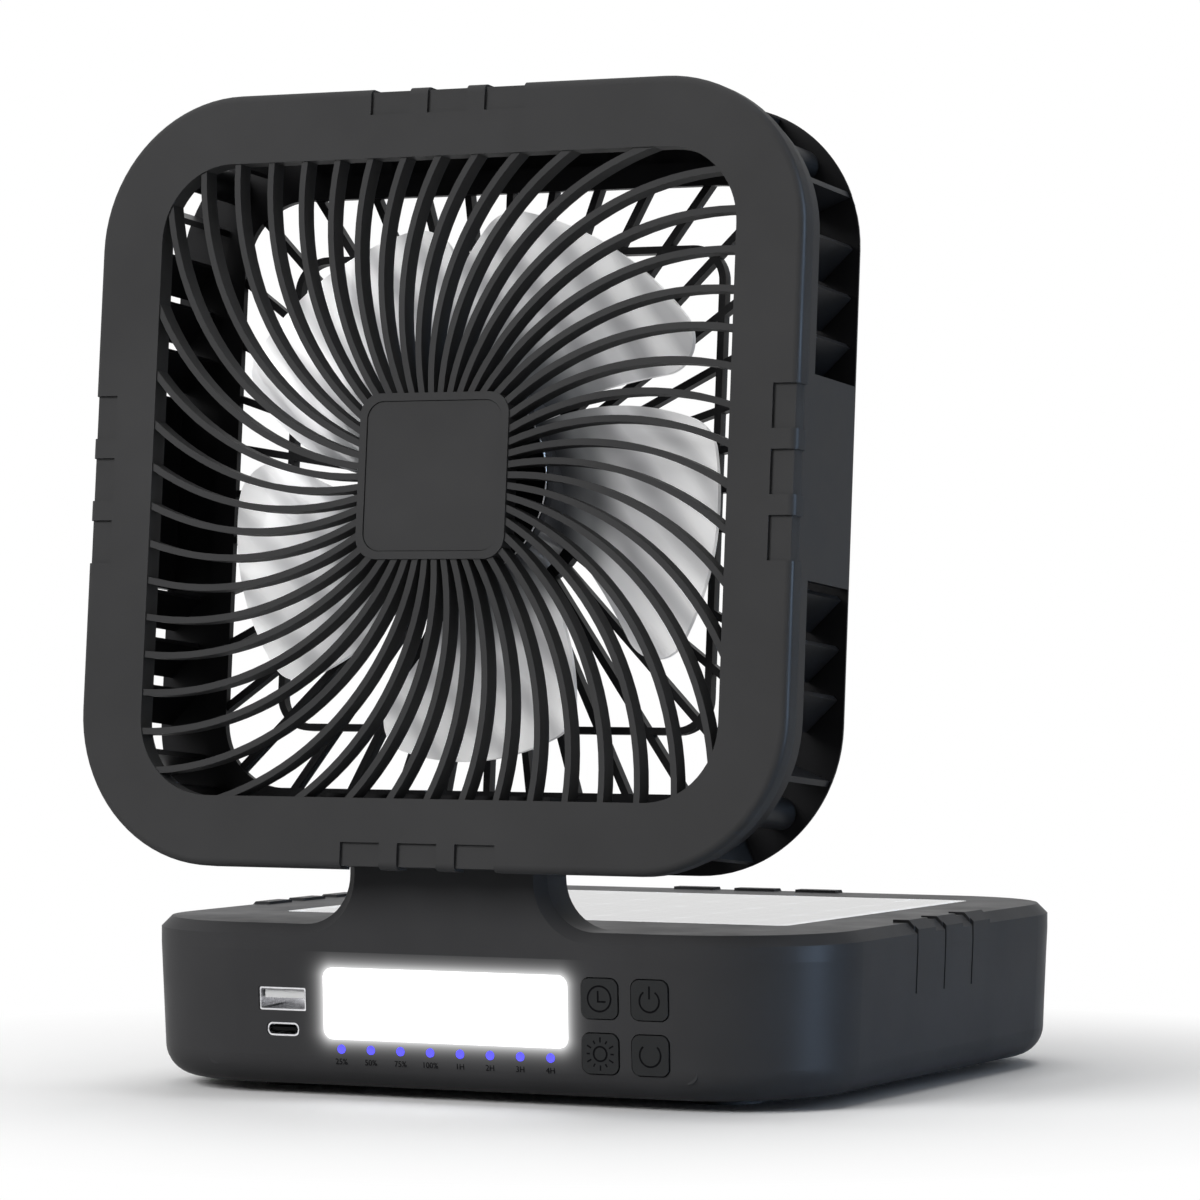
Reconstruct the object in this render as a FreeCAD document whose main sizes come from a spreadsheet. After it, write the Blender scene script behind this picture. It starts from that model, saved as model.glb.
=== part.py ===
import FreeCAD, Part
import math
import os

import Sketcher

# Portable camping fan: a square fan head on a tilting neck, over a square base
# with a solar panel, a light panel, two sockets and four push buttons.
# Millimetres, +Z up. The origin is the centre of the footprint of the whole
# fan, on the surface it stands on. The fan blows towards -Y.

os.makedirs("parts", exist_ok=True)
doc = FreeCAD.newDocument("camping_fan")

# Driving dimensions
DIMENSIONS = {
    # base, lower shell and top cover
    "base_width": 190.0,
    "base_depth": 191.0,
    "base_corner": 37.0,
    "foot_height": 2.5,
    "shell_height": 33.5,
    "cover_height": 6.5,
    "cover_thickness": 4.2,
    "base_wall": 2.2,
    "base_floor": 2.2,
    "draft_angle": 2.5,
    "bottom_rounding": 8.0,
    "inner_slope": 35.0,
    "rim_chamfer": 2.6,
    "lip_height": 2.0,
    "lip_thickness": 1.2,
    "lip_clearance": 0.2,
    # neck and hinge
    "neck_width": 54.0,
    "neck_depth": 13.0,
    "neck_rise": 22.5,
    "neck_fillet": 12.5,
    "neck_shoulder_drop": 7.0,
    "knuckle_width": 48.8,
    "pin_radius": 2.5,
    "pin_clearance": 0.05,
    "washer_thickness": 1.0,
    "washer_radius": 6.0,
    "washer_clearance": 0.05,
    "neck_cover_width": 44.0,
    "neck_cover_height": 11.0,
    "neck_cover_thickness": 2.0,
    "neck_cover_drop": 20.5,
    "neck_cavity_width": 26.0,
    "neck_cavity_wall": 2.4,
    "neck_cover_ledge": 1.5,
    "neck_screw_spacing": 35.0,
    "cover_fit": 0.15,
    # fasteners and feet
    "foot_radius": 9.0,
    "foot_sink": 0.5,
    "foot_inset": 36.0,
    "screw_inset": 21.0,
    "screw_radius": 1.5,
    "screw_head_radius": 2.8,
    "screw_head_height": 2.4,
    "screw_recess": 6.0,
    "screw_grip": 4.0,
    "boss_radius": 4.5,
    "small_screw_radius": 1.0,
    "small_screw_head_radius": 1.9,
    "small_screw_length": 5.0,
    # solar panel
    "solar_width": 141.0,
    "solar_length": 121.0,
    "solar_centre": 11.5,
    "solar_corner": 3.0,
    "solar_recess": 2.0,
    "solar_fit": 0.15,
    "solar_board_thickness": 1.2,
    "solar_cell_thickness": 0.25,
    "solar_pitch_across": 22.0,
    "solar_pitch_along": 22.7,
    "solar_line": 0.8,
    "solar_cell_chamfer": 2.0,
    "solar_margin": 3.0,
    # raised pads on the rim and grooves down from them
    "pad_length": 12.0,
    "pad_pitch": 18.3,
    "pad_width": 6.5,
    "pad_rise": 0.7,
    "groove_width": 0.8,
    "groove_depth": 0.4,
    "groove_length": 11.0,
    # front panel of the base, heights measured down from the split line
    "lens_width": 66.8,
    "lens_height": 17.55,
    "lens_drop": 12.7,
    "lens_corner": 2.5,
    "lens_flange": 1.2,
    "lens_flange_thickness": 1.2,
    "panel_fit": 0.1,
    "led_board_depth": 9.0,
    "led_board_thickness": 1.2,
    "led_size": 2.8,
    "led_thickness": 0.8,
    "led_pitch": 8.0,
    "reflector_wall": 1.2,
    "indicator_radius": 1.1,
    "indicator_pitch": 8.18,
    "indicator_drop": 23.9,
    "indicator_length": 3.4,
    "indicator_bar": 1.4,
    "usb_across": 45.0,
    "usb_a_width": 13.1,
    "usb_a_height": 5.7,
    "usb_a_drop": 12.05,
    "usb_c_width": 9.0,
    "usb_c_height": 3.3,
    "usb_c_drop": 19.55,
    "usb_corner": 0.5,
    "usb_sheet": 0.4,
    "usb_set_back": 0.4,
    "button_hole": 10.2,
    "button_corner": 2.3,
    "button_gap": 0.3,
    "button_column": 42.1,
    "button_pitch": 13.25,
    "button_row_drop": 9.1,
    "button_proud": 0.3,
    "button_flange": 0.9,
    "button_stem_radius": 1.8,
    "button_travel": 0.8,
    "switch_size": 6.0,
    "switch_height": 3.2,
    "board_depth": 11.5,
    "board_thickness": 1.6,
    "board_width": 136.0,
    "board_height": 27.0,
    "board_drop": 16.5,
    "board_post_radius": 2.4,
    "board_post_inset": 3.4,
    # battery
    "cell_radius": 9.2,
    "cell_length": 65.0,
    "cell_count": 3.0,
    "cell_gap": 1.0,
    "battery_centre": 10.0,
    "tray_floor": 1.5,
    "tray_wall": 2.0,
    "tray_height": 12.0,
    # head
    "tilt_angle": 5.0,
    "head_width": 192.0,
    "head_height": 191.0,
    "head_corner": 38.0,
    "head_depth": 39.2,
    "bezel_depth": 5.5,
    "bezel_face": 2.6,
    "bezel_wall": 3.2,
    "bezel_rounding": 1.8,
    "opening_width": 157.0,
    "opening_height": 156.5,
    "opening_corner": 19.0,
    "opening_wall": 2.0,
    "axis_depth": 20.0,
    "axis_height": 9.5,
    "notch_length": 10.7,
    "notch_pitch": 15.6,
    "notch_reach": 6.5,
    "notch_depth": 0.8,
    # front ribs and hub plate
    "hub_plate": 40.5,
    "hub_plate_corner": 5.5,
    "badge_size": 36.7,
    "badge_corner": 4.5,
    "badge_thickness": 1.2,
    "badge_fit": 0.15,
    "badge_set_back": 0.3,
    "rib_count": 50.0,
    "rib_width": 1.6,
    "rib_depth": 5.0,
    "rib_set_back": 0.4,
    "rib_arc_radius": 75.0,
    "rib_tangent_radius": 21.7,
    "rib_start_radius": 16.3,
    "rib_end_angle": 72.0,
    "rib_grip": 1.0,
    # rear housing
    "housing_inset": 1.5,
    "housing_wall": 2.2,
    "housing_rounding": 2.0,
    "rear_opening": 155.0,
    "rear_opening_corner": 20.0,
    "window_front": 12.8,
    "window_rear": 37.0,
    "window_start": 24.5,
    "window_start_below": 40.0,
    "slot_clearance": 1.6,
    "slot_front": 8.5,
    "slot_rise": 7.2,
    "slot_flare": 6.0,
    "slot_wall": 2.0,
    "louvre_pitch": 12.0,
    "louvre_length": 11.0,
    "louvre_thickness": 1.5,
    "louvre_angle": 45.0,
    "louvre_count": 4.0,
    "post_inset": 17.0,
    "post_radius": 4.0,
    "post_screw_depth": 12.0,
    "post_screw_end": 2.0,
    # rear grille
    "rear_bar_count": 40.0,
    "rear_bar_width": 1.8,
    "rear_bar_depth": 3.0,
    "rear_bar_front": 35.6,
    "rear_ring_half": 60.0,
    "rear_ring_width": 1.8,
    "rear_ring_corner": 9.0,
    "rear_frame_width": 3.0,
    "rear_frame_thickness": 2.0,
    "motor_plate_radius": 27.0,
    "motor_plate_thickness": 3.2,
    # motor and rotor, depths measured from the front of the bezel
    "rotor_front": 12.0,
    "rotor_rear": 30.0,
    "rotor_radius": 25.0,
    "rotor_wall": 1.8,
    "rotor_boss_radius": 4.0,
    "rotor_boss_rear": 16.8,
    "magnet_thickness": 2.2,
    "magnet_front": 16.0,
    "magnet_rear": 29.0,
    "air_gap": 0.6,
    "core_front": 18.5,
    "core_rear": 26.5,
    "tooth_count": 9.0,
    "tooth_width": 4.0,
    "coil_width": 8.0,
    "coil_overhang": 1.4,
    "tube_radius": 5.0,
    "tube_front": 17.2,
    "bearing_radius": 3.5,
    "bearing_length": 5.0,
    "shaft_radius": 1.5,
    "shaft_clearance": 0.04,
    "shaft_rear": 35.4,
    "motor_board_depth": 32.5,
    "motor_board_thickness": 1.0,
    "motor_board_radius": 22.0,
    "motor_screw_radius_at": 15.0,
    "motor_screw_grip": 3.4,
    "motor_post_wall": 1.4,
    "blade_count": 5.0,
    "blade_ring": 1.6,
    "blade_ring_front": 13.0,
    "blade_ring_rear": 29.0,
    "blade_tip_radius": 68.0,
    "blade_middle": 21.0,
    "blade_rise": 17.0,
    "blade_camber": 1.6,
    "blade_thickness": 1.6,
    "blade_half_angle": 29.0,
    "blade_sweep": 21.0,
    "blade_corner": 9.0,
}


class Size:
    """A number and the sheet formula that gives the same number."""

    def __init__(self, number, formula):
        self.number = float(number)
        self.formula = formula

    def __add__(self, other):
        other = as_size(other)
        return Size(self.number + other.number, "(%s + %s)" % (self.formula, other.formula))

    def __sub__(self, other):
        other = as_size(other)
        return Size(self.number - other.number, "(%s - %s)" % (self.formula, other.formula))

    def __mul__(self, other):
        other = as_size(other)
        return Size(self.number * other.number, "(%s * %s)" % (self.formula, other.formula))

    def __truediv__(self, other):
        other = as_size(other)
        return Size(self.number / other.number, "(%s / %s)" % (self.formula, other.formula))

    def __radd__(self, other):
        return as_size(other) + self

    def __rsub__(self, other):
        return as_size(other) - self

    def __rmul__(self, other):
        return as_size(other) * self

    def __neg__(self):
        return Size(-self.number, "(0 - %s)" % self.formula)


def as_size(value):
    if isinstance(value, Size):
        return value
    return Size(value, "(%r)" % float(value))


def sine(angle):
    return Size(math.sin(math.radians(angle.number)), "sin(%s)" % angle.formula)


def tangent(angle):
    return sine(angle) / cosine(angle)


def cosine(angle):
    return Size(math.cos(math.radians(angle.number)), "cos(%s)" % angle.formula)


sheet = doc.addObject("Spreadsheet::Sheet", "Sizes")
for row, (name, value) in enumerate(DIMENSIONS.items(), start=1):
    cell = "A%d" % row
    sheet.set(cell, str(value))
    sheet.setAlias(cell, name)
doc.recompute()


class Dimensions:
    """Every sheet cell as a Size, under the cell's own name."""


d = Dimensions()
for name in DIMENSIONS:
    setattr(d, name, Size(sheet.get(name), "Sizes." + name))


# Heights and planes that several pieces share, in the base's frame: its origin
# is under the middle of the base, on the surface that the fan stands on.
split = d.foot_height + d.shell_height
cover_top = split + d.cover_height
floor_top = d.foot_height + d.base_floor
half_width = d.base_width / 2
half_depth = d.base_depth / 2
hinge_y = d.neck_depth / 2 - half_depth
hinge_z = cover_top + d.neck_rise
shoulder_z = hinge_z - d.neck_shoulder_drop

# The head's frame has its origin in the middle of the bezel's front face, with
# Y pointing to the back of the head. The hinge axis lies at this depth and height.
axis_z = d.axis_height - d.head_height / 2
head_y = hinge_y - d.axis_depth * cosine(d.tilt_angle) + axis_z * sine(d.tilt_angle) * -1
head_z = hinge_z + d.axis_depth * sine(d.tilt_angle) - axis_z * cosine(d.tilt_angle)

# The bezel's lower edge reaches furthest forward, the base furthest back.
edge_y = d.bezel_rounding
edge_z = d.bezel_rounding - d.head_height / 2
reach_front = head_y + edge_y * cosine(d.tilt_angle) + edge_z * sine(d.tilt_angle) - d.bezel_rounding
middle_y = (reach_front + half_depth) / 2


def bind(thing, path, size):
    thing.setExpression(path, as_size(size).formula)


def new_body(name):
    body = doc.addObject("PartDesign::Body", name)
    body.Label = name
    return body


def origin_plane(body, role):
    return [part for part in body.Origin.OriginFeatures if part.Role == role][0]


def new_sketch(body, role, height):
    sketch = body.newObject("Sketcher::SketchObject", body.Name + "_sketch")
    sketch.AttachmentSupport = (origin_plane(body, role), [""])
    sketch.MapMode = "FlatFace"
    bind(sketch, "AttachmentOffset.Base.z", height)
    return sketch


def level_sketch(body, z):
    """A sketch seen from above, at height z."""
    return new_sketch(body, "XY_Plane", z)


def front_sketch(body, y):
    """A sketch seen from the front, x to the right and z up, at depth y."""
    return new_sketch(body, "XZ_Plane", -as_size(y))


def side_sketch(body, x):
    """A sketch seen from the right, y to the right and z up."""
    return new_sketch(body, "YZ_Plane", x)


def panel_sketch(body, depth):
    """A sketch on the base's sloping front wall, z = 0 at the split line."""
    sketch = new_sketch(body, "XZ_Plane", half_depth - depth * cosine(d.draft_angle))
    sketch.AttachmentOffset = FreeCAD.Placement(
        FreeCAD.Vector(), FreeCAD.Rotation(FreeCAD.Vector(1, 0, 0), d.draft_angle.number))
    bind(sketch, "AttachmentOffset.Base.y", split + depth * sine(d.draft_angle))
    bind(sketch, "AttachmentOffset.Base.z", half_depth - depth * cosine(d.draft_angle))
    bind(sketch, "AttachmentOffset.Rotation.Angle", d.draft_angle)
    return sketch


drawings = {}


class Drawing:
    """What is to be drawn in one sketch, added to it all at once."""

    def __init__(self):
        self.geometry = []
        self.constraints = []
        self.formulas = []

    def size(self, kind, places, size):
        self.formulas.append((len(self.constraints), size))
        self.constraints.append(Sketcher.Constraint(kind, *places, size.number))

    def fix_point(self, geometry, position, u, v):
        self.size("DistanceX", (-1, 1, geometry, position), as_size(u))
        self.size("DistanceY", (-1, 1, geometry, position), as_size(v))


def drawing_of(sketch):
    return drawings.setdefault(sketch.Name, Drawing())


def finish_sketch(sketch):
    drawing = drawings.pop(sketch.Name)
    sketch.addGeometry(drawing.geometry)
    sketch.addConstraint(drawing.constraints)
    for index, size in drawing.formulas:
        bind(sketch, "Constraints[%d]" % index, size)


def draw_circle(sketch, u, v, radius):
    u, v, radius = as_size(u), as_size(v), as_size(radius)
    drawing = drawing_of(sketch)
    centre = FreeCAD.Vector(u.number, v.number, 0)
    circle = len(drawing.geometry)
    drawing.geometry.append(Part.Circle(centre, FreeCAD.Vector(0, 0, 1), radius.number))
    drawing.size("Radius", (circle,), radius)
    drawing.fix_point(circle, 3, u, v)


def draw_outline(sketch, corners):
    """A closed outline. A corner is (u, v), or (u, v, radius, bulge) where an arc leads to it:
    bulge 1 bends it to the left of its chord, -1 to the right."""
    corners = [tuple(as_size(value) for value in corner[:3]) + corner[3:] for corner in corners]
    count = len(corners)
    drawing = drawing_of(sketch)
    edges = []
    for index, corner in enumerate(corners):
        before = corners[index - 1]
        start = FreeCAD.Vector(before[0].number, before[1].number, 0)
        end = FreeCAD.Vector(corner[0].number, corner[1].number, 0)
        edge = len(drawing.geometry)
        if len(corner) == 2:
            drawing.geometry.append(Part.LineSegment(start, end))
            edges.append((edge, 1, 2))
            continue
        radius, bulge = corner[2], corner[3]
        chord = end - start
        normal = FreeCAD.Vector(-chord.y, chord.x, 0).normalize()
        sagitta = radius.number - math.sqrt(max(radius.number ** 2 - (chord.Length / 2) ** 2, 0))
        middle = start + chord * 0.5 + normal * sagitta * bulge
        clockwise = (middle - start).cross(end - start).z < 0
        drawing.geometry.append(Part.Arc(end, middle, start) if clockwise else Part.Arc(start, middle, end))
        edges.append((edge, 2, 1) if clockwise else (edge, 1, 2))
        drawing.size("Radius", (edge,), radius)
    for index, (edge, _, last) in enumerate(edges):
        following, first, _ = edges[(index + 1) % count]
        drawing.constraints.append(Sketcher.Constraint("Coincident", edge, last, following, first))
        drawing.fix_point(edge, last, corners[index][0], corners[index][1])


def draw_rectangle(sketch, left, right, bottom, top):
    draw_outline(sketch, [(left, bottom), (right, bottom), (right, top), (left, top)])


def draw_rounded(sketch, left, right, bottom, top, radius):
    left, right, bottom, top = as_size(left), as_size(right), as_size(bottom), as_size(top)
    radius = as_size(radius)
    draw_outline(sketch, [
        (right - radius, bottom),
        (right, bottom + radius, radius, -1),
        (right, top - radius),
        (right - radius, top, radius, -1),
        (left + radius, top),
        (left, top - radius, radius, -1),
        (left, bottom + radius),
        (left + radius, bottom, radius, -1),
    ])


def draw_centred(sketch, u, v, width, height, radius):
    u, v, width, height = as_size(u), as_size(v), as_size(width), as_size(height)
    draw_rounded(sketch, u - width / 2, u + width / 2, v - height / 2, v + height / 2, radius)


def grow(body, sketch, length, reverse=False, taper=None, symmetric=False):
    """Adds the sketched outline, stretched along the sketch's normal."""
    finish_sketch(sketch)
    feature = body.newObject("PartDesign::Pad", body.Name + "_pad")
    feature.Profile = sketch
    bind(feature, "Length", length)
    feature.Reversed = reverse
    if symmetric:
        feature.SideType = "Symmetric"
    if taper is not None:
        bind(feature, "TaperAngle", taper)
    return feature


def cut(body, sketch, length, reverse=False, taper=None, symmetric=False):
    """Removes the sketched outline, against the sketch's normal unless reversed."""
    finish_sketch(sketch)
    feature = body.newObject("PartDesign::Pocket", body.Name + "_pocket")
    feature.Profile = sketch
    bind(feature, "Length", length)
    feature.Reversed = reverse
    if symmetric:
        feature.SideType = "Symmetric"
    if taper is not None:
        bind(feature, "TaperAngle", taper)
    return feature


def edge_names(feature, wanted):
    """Names of the edges whose two ends and middle all satisfy the test."""
    names = []
    for index, edge in enumerate(feature.Shape.Edges, start=1):
        first, last = edge.ParameterRange
        points = [edge.valueAt(first + (last - first) * share) for share in (0.0, 0.5, 1.0)]
        if all(wanted(point) for point in points):
            names.append("Edge%d" % index)
    return names


def dress(body, kind, feature, names, size):
    """Rounds or chamfers the named edges."""
    result = body.newObject("PartDesign::" + kind, body.Name + "_" + kind.lower())
    result.Base = (feature, names)
    bind(result, "Radius" if kind == "Fillet" else "Size", size)
    return result


def near(first, second):
    return abs(first - as_size(second).number) < 1e-4


def place_in_base(piece):
    bind(piece, "Placement.Base.y", -middle_y)


def place_on_panel(piece):
    """Puts a piece drawn in the front panel's frame on the base's front wall."""
    piece.Placement = FreeCAD.Placement(
        FreeCAD.Vector(), FreeCAD.Rotation(FreeCAD.Vector(1, 0, 0), d.draft_angle.number))
    bind(piece, "Placement.Base.y", -half_depth - middle_y)
    bind(piece, "Placement.Base.z", split)
    bind(piece, "Placement.Rotation.Angle", d.draft_angle)


def place_in_head(piece):
    piece.Placement = FreeCAD.Placement(
        FreeCAD.Vector(), FreeCAD.Rotation(FreeCAD.Vector(1, 0, 0), -d.tilt_angle.number))
    bind(piece, "Placement.Base.y", head_y - middle_y)
    bind(piece, "Placement.Base.z", head_z)
    bind(piece, "Placement.Rotation.Angle", -d.tilt_angle)


def corner_places(across, along):
    """The four corners of a rectangle with these half sizes."""
    return [(side * across, end * along) for side in (-1, 1) for end in (-1, 1)]


kept = []


def keep(piece, place):
    place(piece)
    kept.append(piece)


# Lower shell of the base: a drafted tray with a rounded bottom edge
def make_base_lower_shell():
    body = new_body("base_lower_shell")
    sketch = level_sketch(body, split)
    draw_rounded(sketch, -half_width, half_width, -half_depth, half_depth, d.base_corner)
    outside = grow(body, sketch, d.shell_height, reverse=True, taper=-d.draft_angle)
    doc.recompute()
    bottom = edge_names(outside, lambda point: near(point.z, d.foot_height))
    dress(body, "Fillet", outside, bottom, d.bottom_rounding)

    inner_x = half_width - d.base_wall
    inner_y = half_depth - d.base_wall
    sketch = level_sketch(body, split)
    draw_rounded(sketch, -inner_x, inner_x, -inner_y, inner_y, d.base_corner - d.base_wall)
    cut(body, sketch, d.shell_height - d.bottom_rounding, taper=-d.draft_angle)
    drafted = d.base_wall + (d.shell_height - d.bottom_rounding) * tangent(d.draft_angle)
    inner_x = half_width - drafted
    inner_y = half_depth - drafted
    sketch = level_sketch(body, d.foot_height + d.bottom_rounding)
    draw_rounded(sketch, -inner_x, inner_x, -inner_y, inner_y, d.base_corner - drafted)
    cut(body, sketch, d.bottom_rounding - d.base_floor, taper=-d.inner_slope)
    clear_front = d.base_wall + d.button_gap / 2
    sketch = panel_sketch(body, clear_front)
    clear = d.button_hole + d.button_flange + d.button_gap * 2
    for x, z in button_places():
        draw_centred(sketch, x, z, clear, clear, d.button_corner)
    cut(body, sketch, d.board_depth - clear_front)

    screw_places = corner_places(half_width - d.screw_inset, half_depth - d.screw_inset)
    sketch = level_sketch(body, floor_top - d.base_floor / 2)
    for x, y in screw_places:
        draw_circle(sketch, x, y, d.boss_radius)
    grow(body, sketch, split - floor_top + d.base_floor / 2)
    sketch = level_sketch(body, d.foot_height)
    for x, y in screw_places:
        draw_circle(sketch, x, y, d.screw_head_radius + d.panel_fit)
    cut(body, sketch, d.screw_recess, reverse=True)
    sketch = level_sketch(body, d.foot_height)
    for x, y in screw_places:
        draw_circle(sketch, x, y, d.screw_radius + d.panel_fit)
    cut(body, sketch, d.shell_height, reverse=True)

    sketch = level_sketch(body, d.foot_height)
    for x, y in corner_places(half_width - d.foot_inset, half_depth - d.foot_inset):
        draw_circle(sketch, x, y, d.foot_radius + d.pin_clearance)
    cut(body, sketch, d.foot_sink, reverse=True)

    post_x = d.board_width / 2 - d.board_post_inset
    post_z = d.board_height / 2 - d.board_post_inset
    sketch = panel_sketch(body, d.base_wall / 2)
    for x, z in corner_places(post_x, post_z):
        draw_circle(sketch, x, z - d.board_drop, d.board_post_radius)
    grow(body, sketch, d.board_depth - d.base_wall / 2, reverse=True)

    sketch = panel_sketch(body, -d.base_wall)
    draw_centred(sketch, 0, -d.lens_drop, d.lens_width + d.panel_fit * 2,
                 d.lens_height + d.panel_fit * 2, d.lens_corner + d.panel_fit)
    for place in indicator_places():
        draw_circle(sketch, place, -d.indicator_drop, d.indicator_radius + d.panel_fit)
    draw_centred(sketch, -d.usb_across, -d.usb_a_drop, d.usb_a_width + d.panel_fit * 2,
                 d.usb_a_height + d.panel_fit * 2, d.usb_corner)
    draw_centred(sketch, -d.usb_across, -d.usb_c_drop, d.usb_c_width + d.panel_fit * 2,
                 d.usb_c_height + d.panel_fit * 2, d.usb_c_height * 0.45)
    for x, z in button_places():
        draw_centred(sketch, x, z, d.button_hole, d.button_hole, d.button_corner)
    cut(body, sketch, d.base_wall * 2 + d.button_gap * 2)
    cut_grooves(body, split - d.groove_length, split + d.lip_height)
    keep(body, place_in_base)


def cut_grooves(body, low, high):
    """Narrow grooves down the side walls, at the front edge of each raised pad."""
    depth = d.groove_depth + d.groove_length * tangent(d.draft_angle)
    for side in (-1, 1):
        sketch = side_sketch(body, side * half_width)
        for step in (-1, 0, 1):
            front = d.pad_pitch * step - d.pad_length / 2
            draw_rectangle(sketch, front, front + d.groove_width, low, high)
        cut(body, sketch, depth, reverse=side < 0)


def indicator_places():
    return [d.indicator_pitch * (index - 3.5) for index in range(8)]


def button_places():
    """Clock, power, light and speed, from the top left to the bottom right."""
    columns = (d.button_column, d.button_column + d.button_pitch)
    rows = (-d.button_row_drop, -d.button_row_drop - d.button_pitch)
    return [(x, z) for z in rows for x in columns]


# Top cover of the base, in one piece with the neck
def make_base_top_cover():
    body = new_body("base_top_cover")
    sketch = level_sketch(body, split)
    draw_rounded(sketch, -half_width, half_width, -half_depth, half_depth, d.base_corner)
    grow(body, sketch, d.cover_height)

    neck_x = d.neck_width / 2
    foot_x = neck_x + d.neck_fillet
    sketch = front_sketch(body, -half_depth)
    draw_outline(sketch, [
        (-foot_x, split),
        (foot_x, split),
        (foot_x, cover_top),
        (neck_x, cover_top + d.neck_fillet, d.neck_fillet, 1),
        (neck_x, shoulder_z),
        (-neck_x, shoulder_z),
        (-neck_x, cover_top + d.neck_fillet),
        (-foot_x, cover_top, d.neck_fillet, 1),
    ])
    neck = grow(body, sketch, d.neck_depth, reverse=True)
    doc.recompute()

    def on_rim(point):
        return near(point.z, cover_top) and abs(point.x) > foot_x.number - 0.01

    def on_neck_side(point):
        return near(point.y, -half_depth) and cover_top.number - 0.01 < point.z < shoulder_z.number + 0.01

    def on_shoulder(point):
        return near(point.z, shoulder_z)

    rear = edge_names(neck, lambda point: near(point.z, cover_top) and near(point.y, half_depth))
    sides = set(edge_names(neck, on_neck_side)) - set(edge_names(neck, on_shoulder))
    rim = sorted(sides.union(edge_names(neck, on_rim), rear))
    chamfered = dress(body, "Chamfer", neck, rim, d.rim_chamfer)

    for step in (-1, 0, 1):
        along = d.pad_pitch * step
        sketch = side_sketch(body, along)
        draw_outline(sketch, pad_profile(half_depth, 1))
        grow(body, sketch, d.pad_length, symmetric=True)
        for side in (-1, 1):
            sketch = front_sketch(body, along)
            draw_outline(sketch, pad_profile(half_width, side))
            grow(body, sketch, d.pad_length, symmetric=True)

    barrel = d.neck_depth / 2
    sketch = side_sketch(body, 0)
    draw_rectangle(sketch, hinge_y - barrel, hinge_y + barrel,
                   shoulder_z - d.neck_shoulder_drop / 2, hinge_z)
    grow(body, sketch, d.knuckle_width, symmetric=True)
    sketch = side_sketch(body, 0)
    draw_circle(sketch, hinge_y, hinge_z, barrel)
    grow(body, sketch, d.knuckle_width, symmetric=True)

    sketch = level_sketch(body, cover_top)
    draw_centred(sketch, 0, d.solar_centre, d.solar_width, d.solar_length, d.solar_corner)
    cut(body, sketch, d.solar_recess)

    inner_x = half_width - d.base_wall
    inner_y = half_depth - d.base_wall
    sketch = level_sketch(body, split)
    draw_rounded(sketch, -inner_x, inner_x, -inner_y, inner_y, d.base_corner - d.base_wall)
    cut(body, sketch, d.cover_height - d.cover_thickness, reverse=True)

    lip_x = inner_x - d.lip_clearance
    lip_y = inner_y - d.lip_clearance
    lip_corner = d.base_corner - d.base_wall - d.lip_clearance
    sketch = level_sketch(body, cover_top - d.cover_thickness)
    draw_rounded(sketch, -lip_x, lip_x, -lip_y, lip_y, lip_corner)
    draw_rounded(sketch, d.lip_thickness - lip_x, lip_x - d.lip_thickness,
                 d.lip_thickness - lip_y, lip_y - d.lip_thickness, lip_corner - d.lip_thickness)
    grow(body, sketch, cover_top - d.cover_thickness - split + d.lip_height, reverse=True)

    screw_places = corner_places(half_width - d.screw_inset, half_depth - d.screw_inset)
    sketch = level_sketch(body, split)
    for x, y in screw_places:
        draw_circle(sketch, x, y, d.boss_radius)
    grow(body, sketch, d.cover_height - d.cover_thickness)
    sketch = level_sketch(body, split)
    for x, y in screw_places:
        draw_circle(sketch, x, y, d.screw_radius + d.pin_clearance)
    cut(body, sketch, d.screw_grip + d.panel_fit, reverse=True)

    sketch = side_sketch(body, 0)
    draw_circle(sketch, hinge_y, hinge_z, d.pin_radius + d.pin_clearance)
    cut(body, sketch, d.knuckle_width + 2, symmetric=True)

    rear_y = -half_depth + d.neck_depth
    cover_z = hinge_z - d.neck_cover_drop
    sketch = front_sketch(body, rear_y)
    draw_rounded(sketch, -d.neck_cover_width / 2, d.neck_cover_width / 2,
                 cover_z, cover_z + d.neck_cover_height, d.neck_cover_ledge)
    cut(body, sketch, d.neck_cover_thickness, reverse=True)
    sketch = front_sketch(body, rear_y)
    draw_rounded(sketch, -d.neck_cavity_width / 2, d.neck_cavity_width / 2,
                 cover_z + d.neck_cover_ledge, cover_z + d.neck_cover_height - d.neck_cover_ledge,
                 d.neck_cover_ledge)
    cut(body, sketch, d.neck_depth - d.neck_cavity_wall, reverse=True)
    sketch = front_sketch(body, rear_y)
    for side in (-1, 1):
        draw_circle(sketch, side * d.neck_screw_spacing / 2, cover_z + d.neck_cover_height / 2,
                    d.small_screw_radius + d.pin_clearance)
    cut(body, sketch, d.neck_cover_thickness + d.small_screw_length, reverse=True)
    cut_grooves(body, split - d.lip_height / 2, cover_top + d.pad_rise * 2)
    keep(body, place_in_base)


def pad_profile(half, side):
    """Outline of a raised pad that wraps the chamfered rim at this half size."""
    inner = half - d.pad_width
    foot = cover_top - d.rim_chamfer
    slant = d.pad_rise * math.sqrt(2)
    corners = [(inner, foot), (half, foot), (half, foot + slant),
               (half - d.rim_chamfer + slant - d.pad_rise, cover_top + d.pad_rise),
               (inner, cover_top + d.pad_rise)]
    return [(side * u, v) for u, v in corners]


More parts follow.
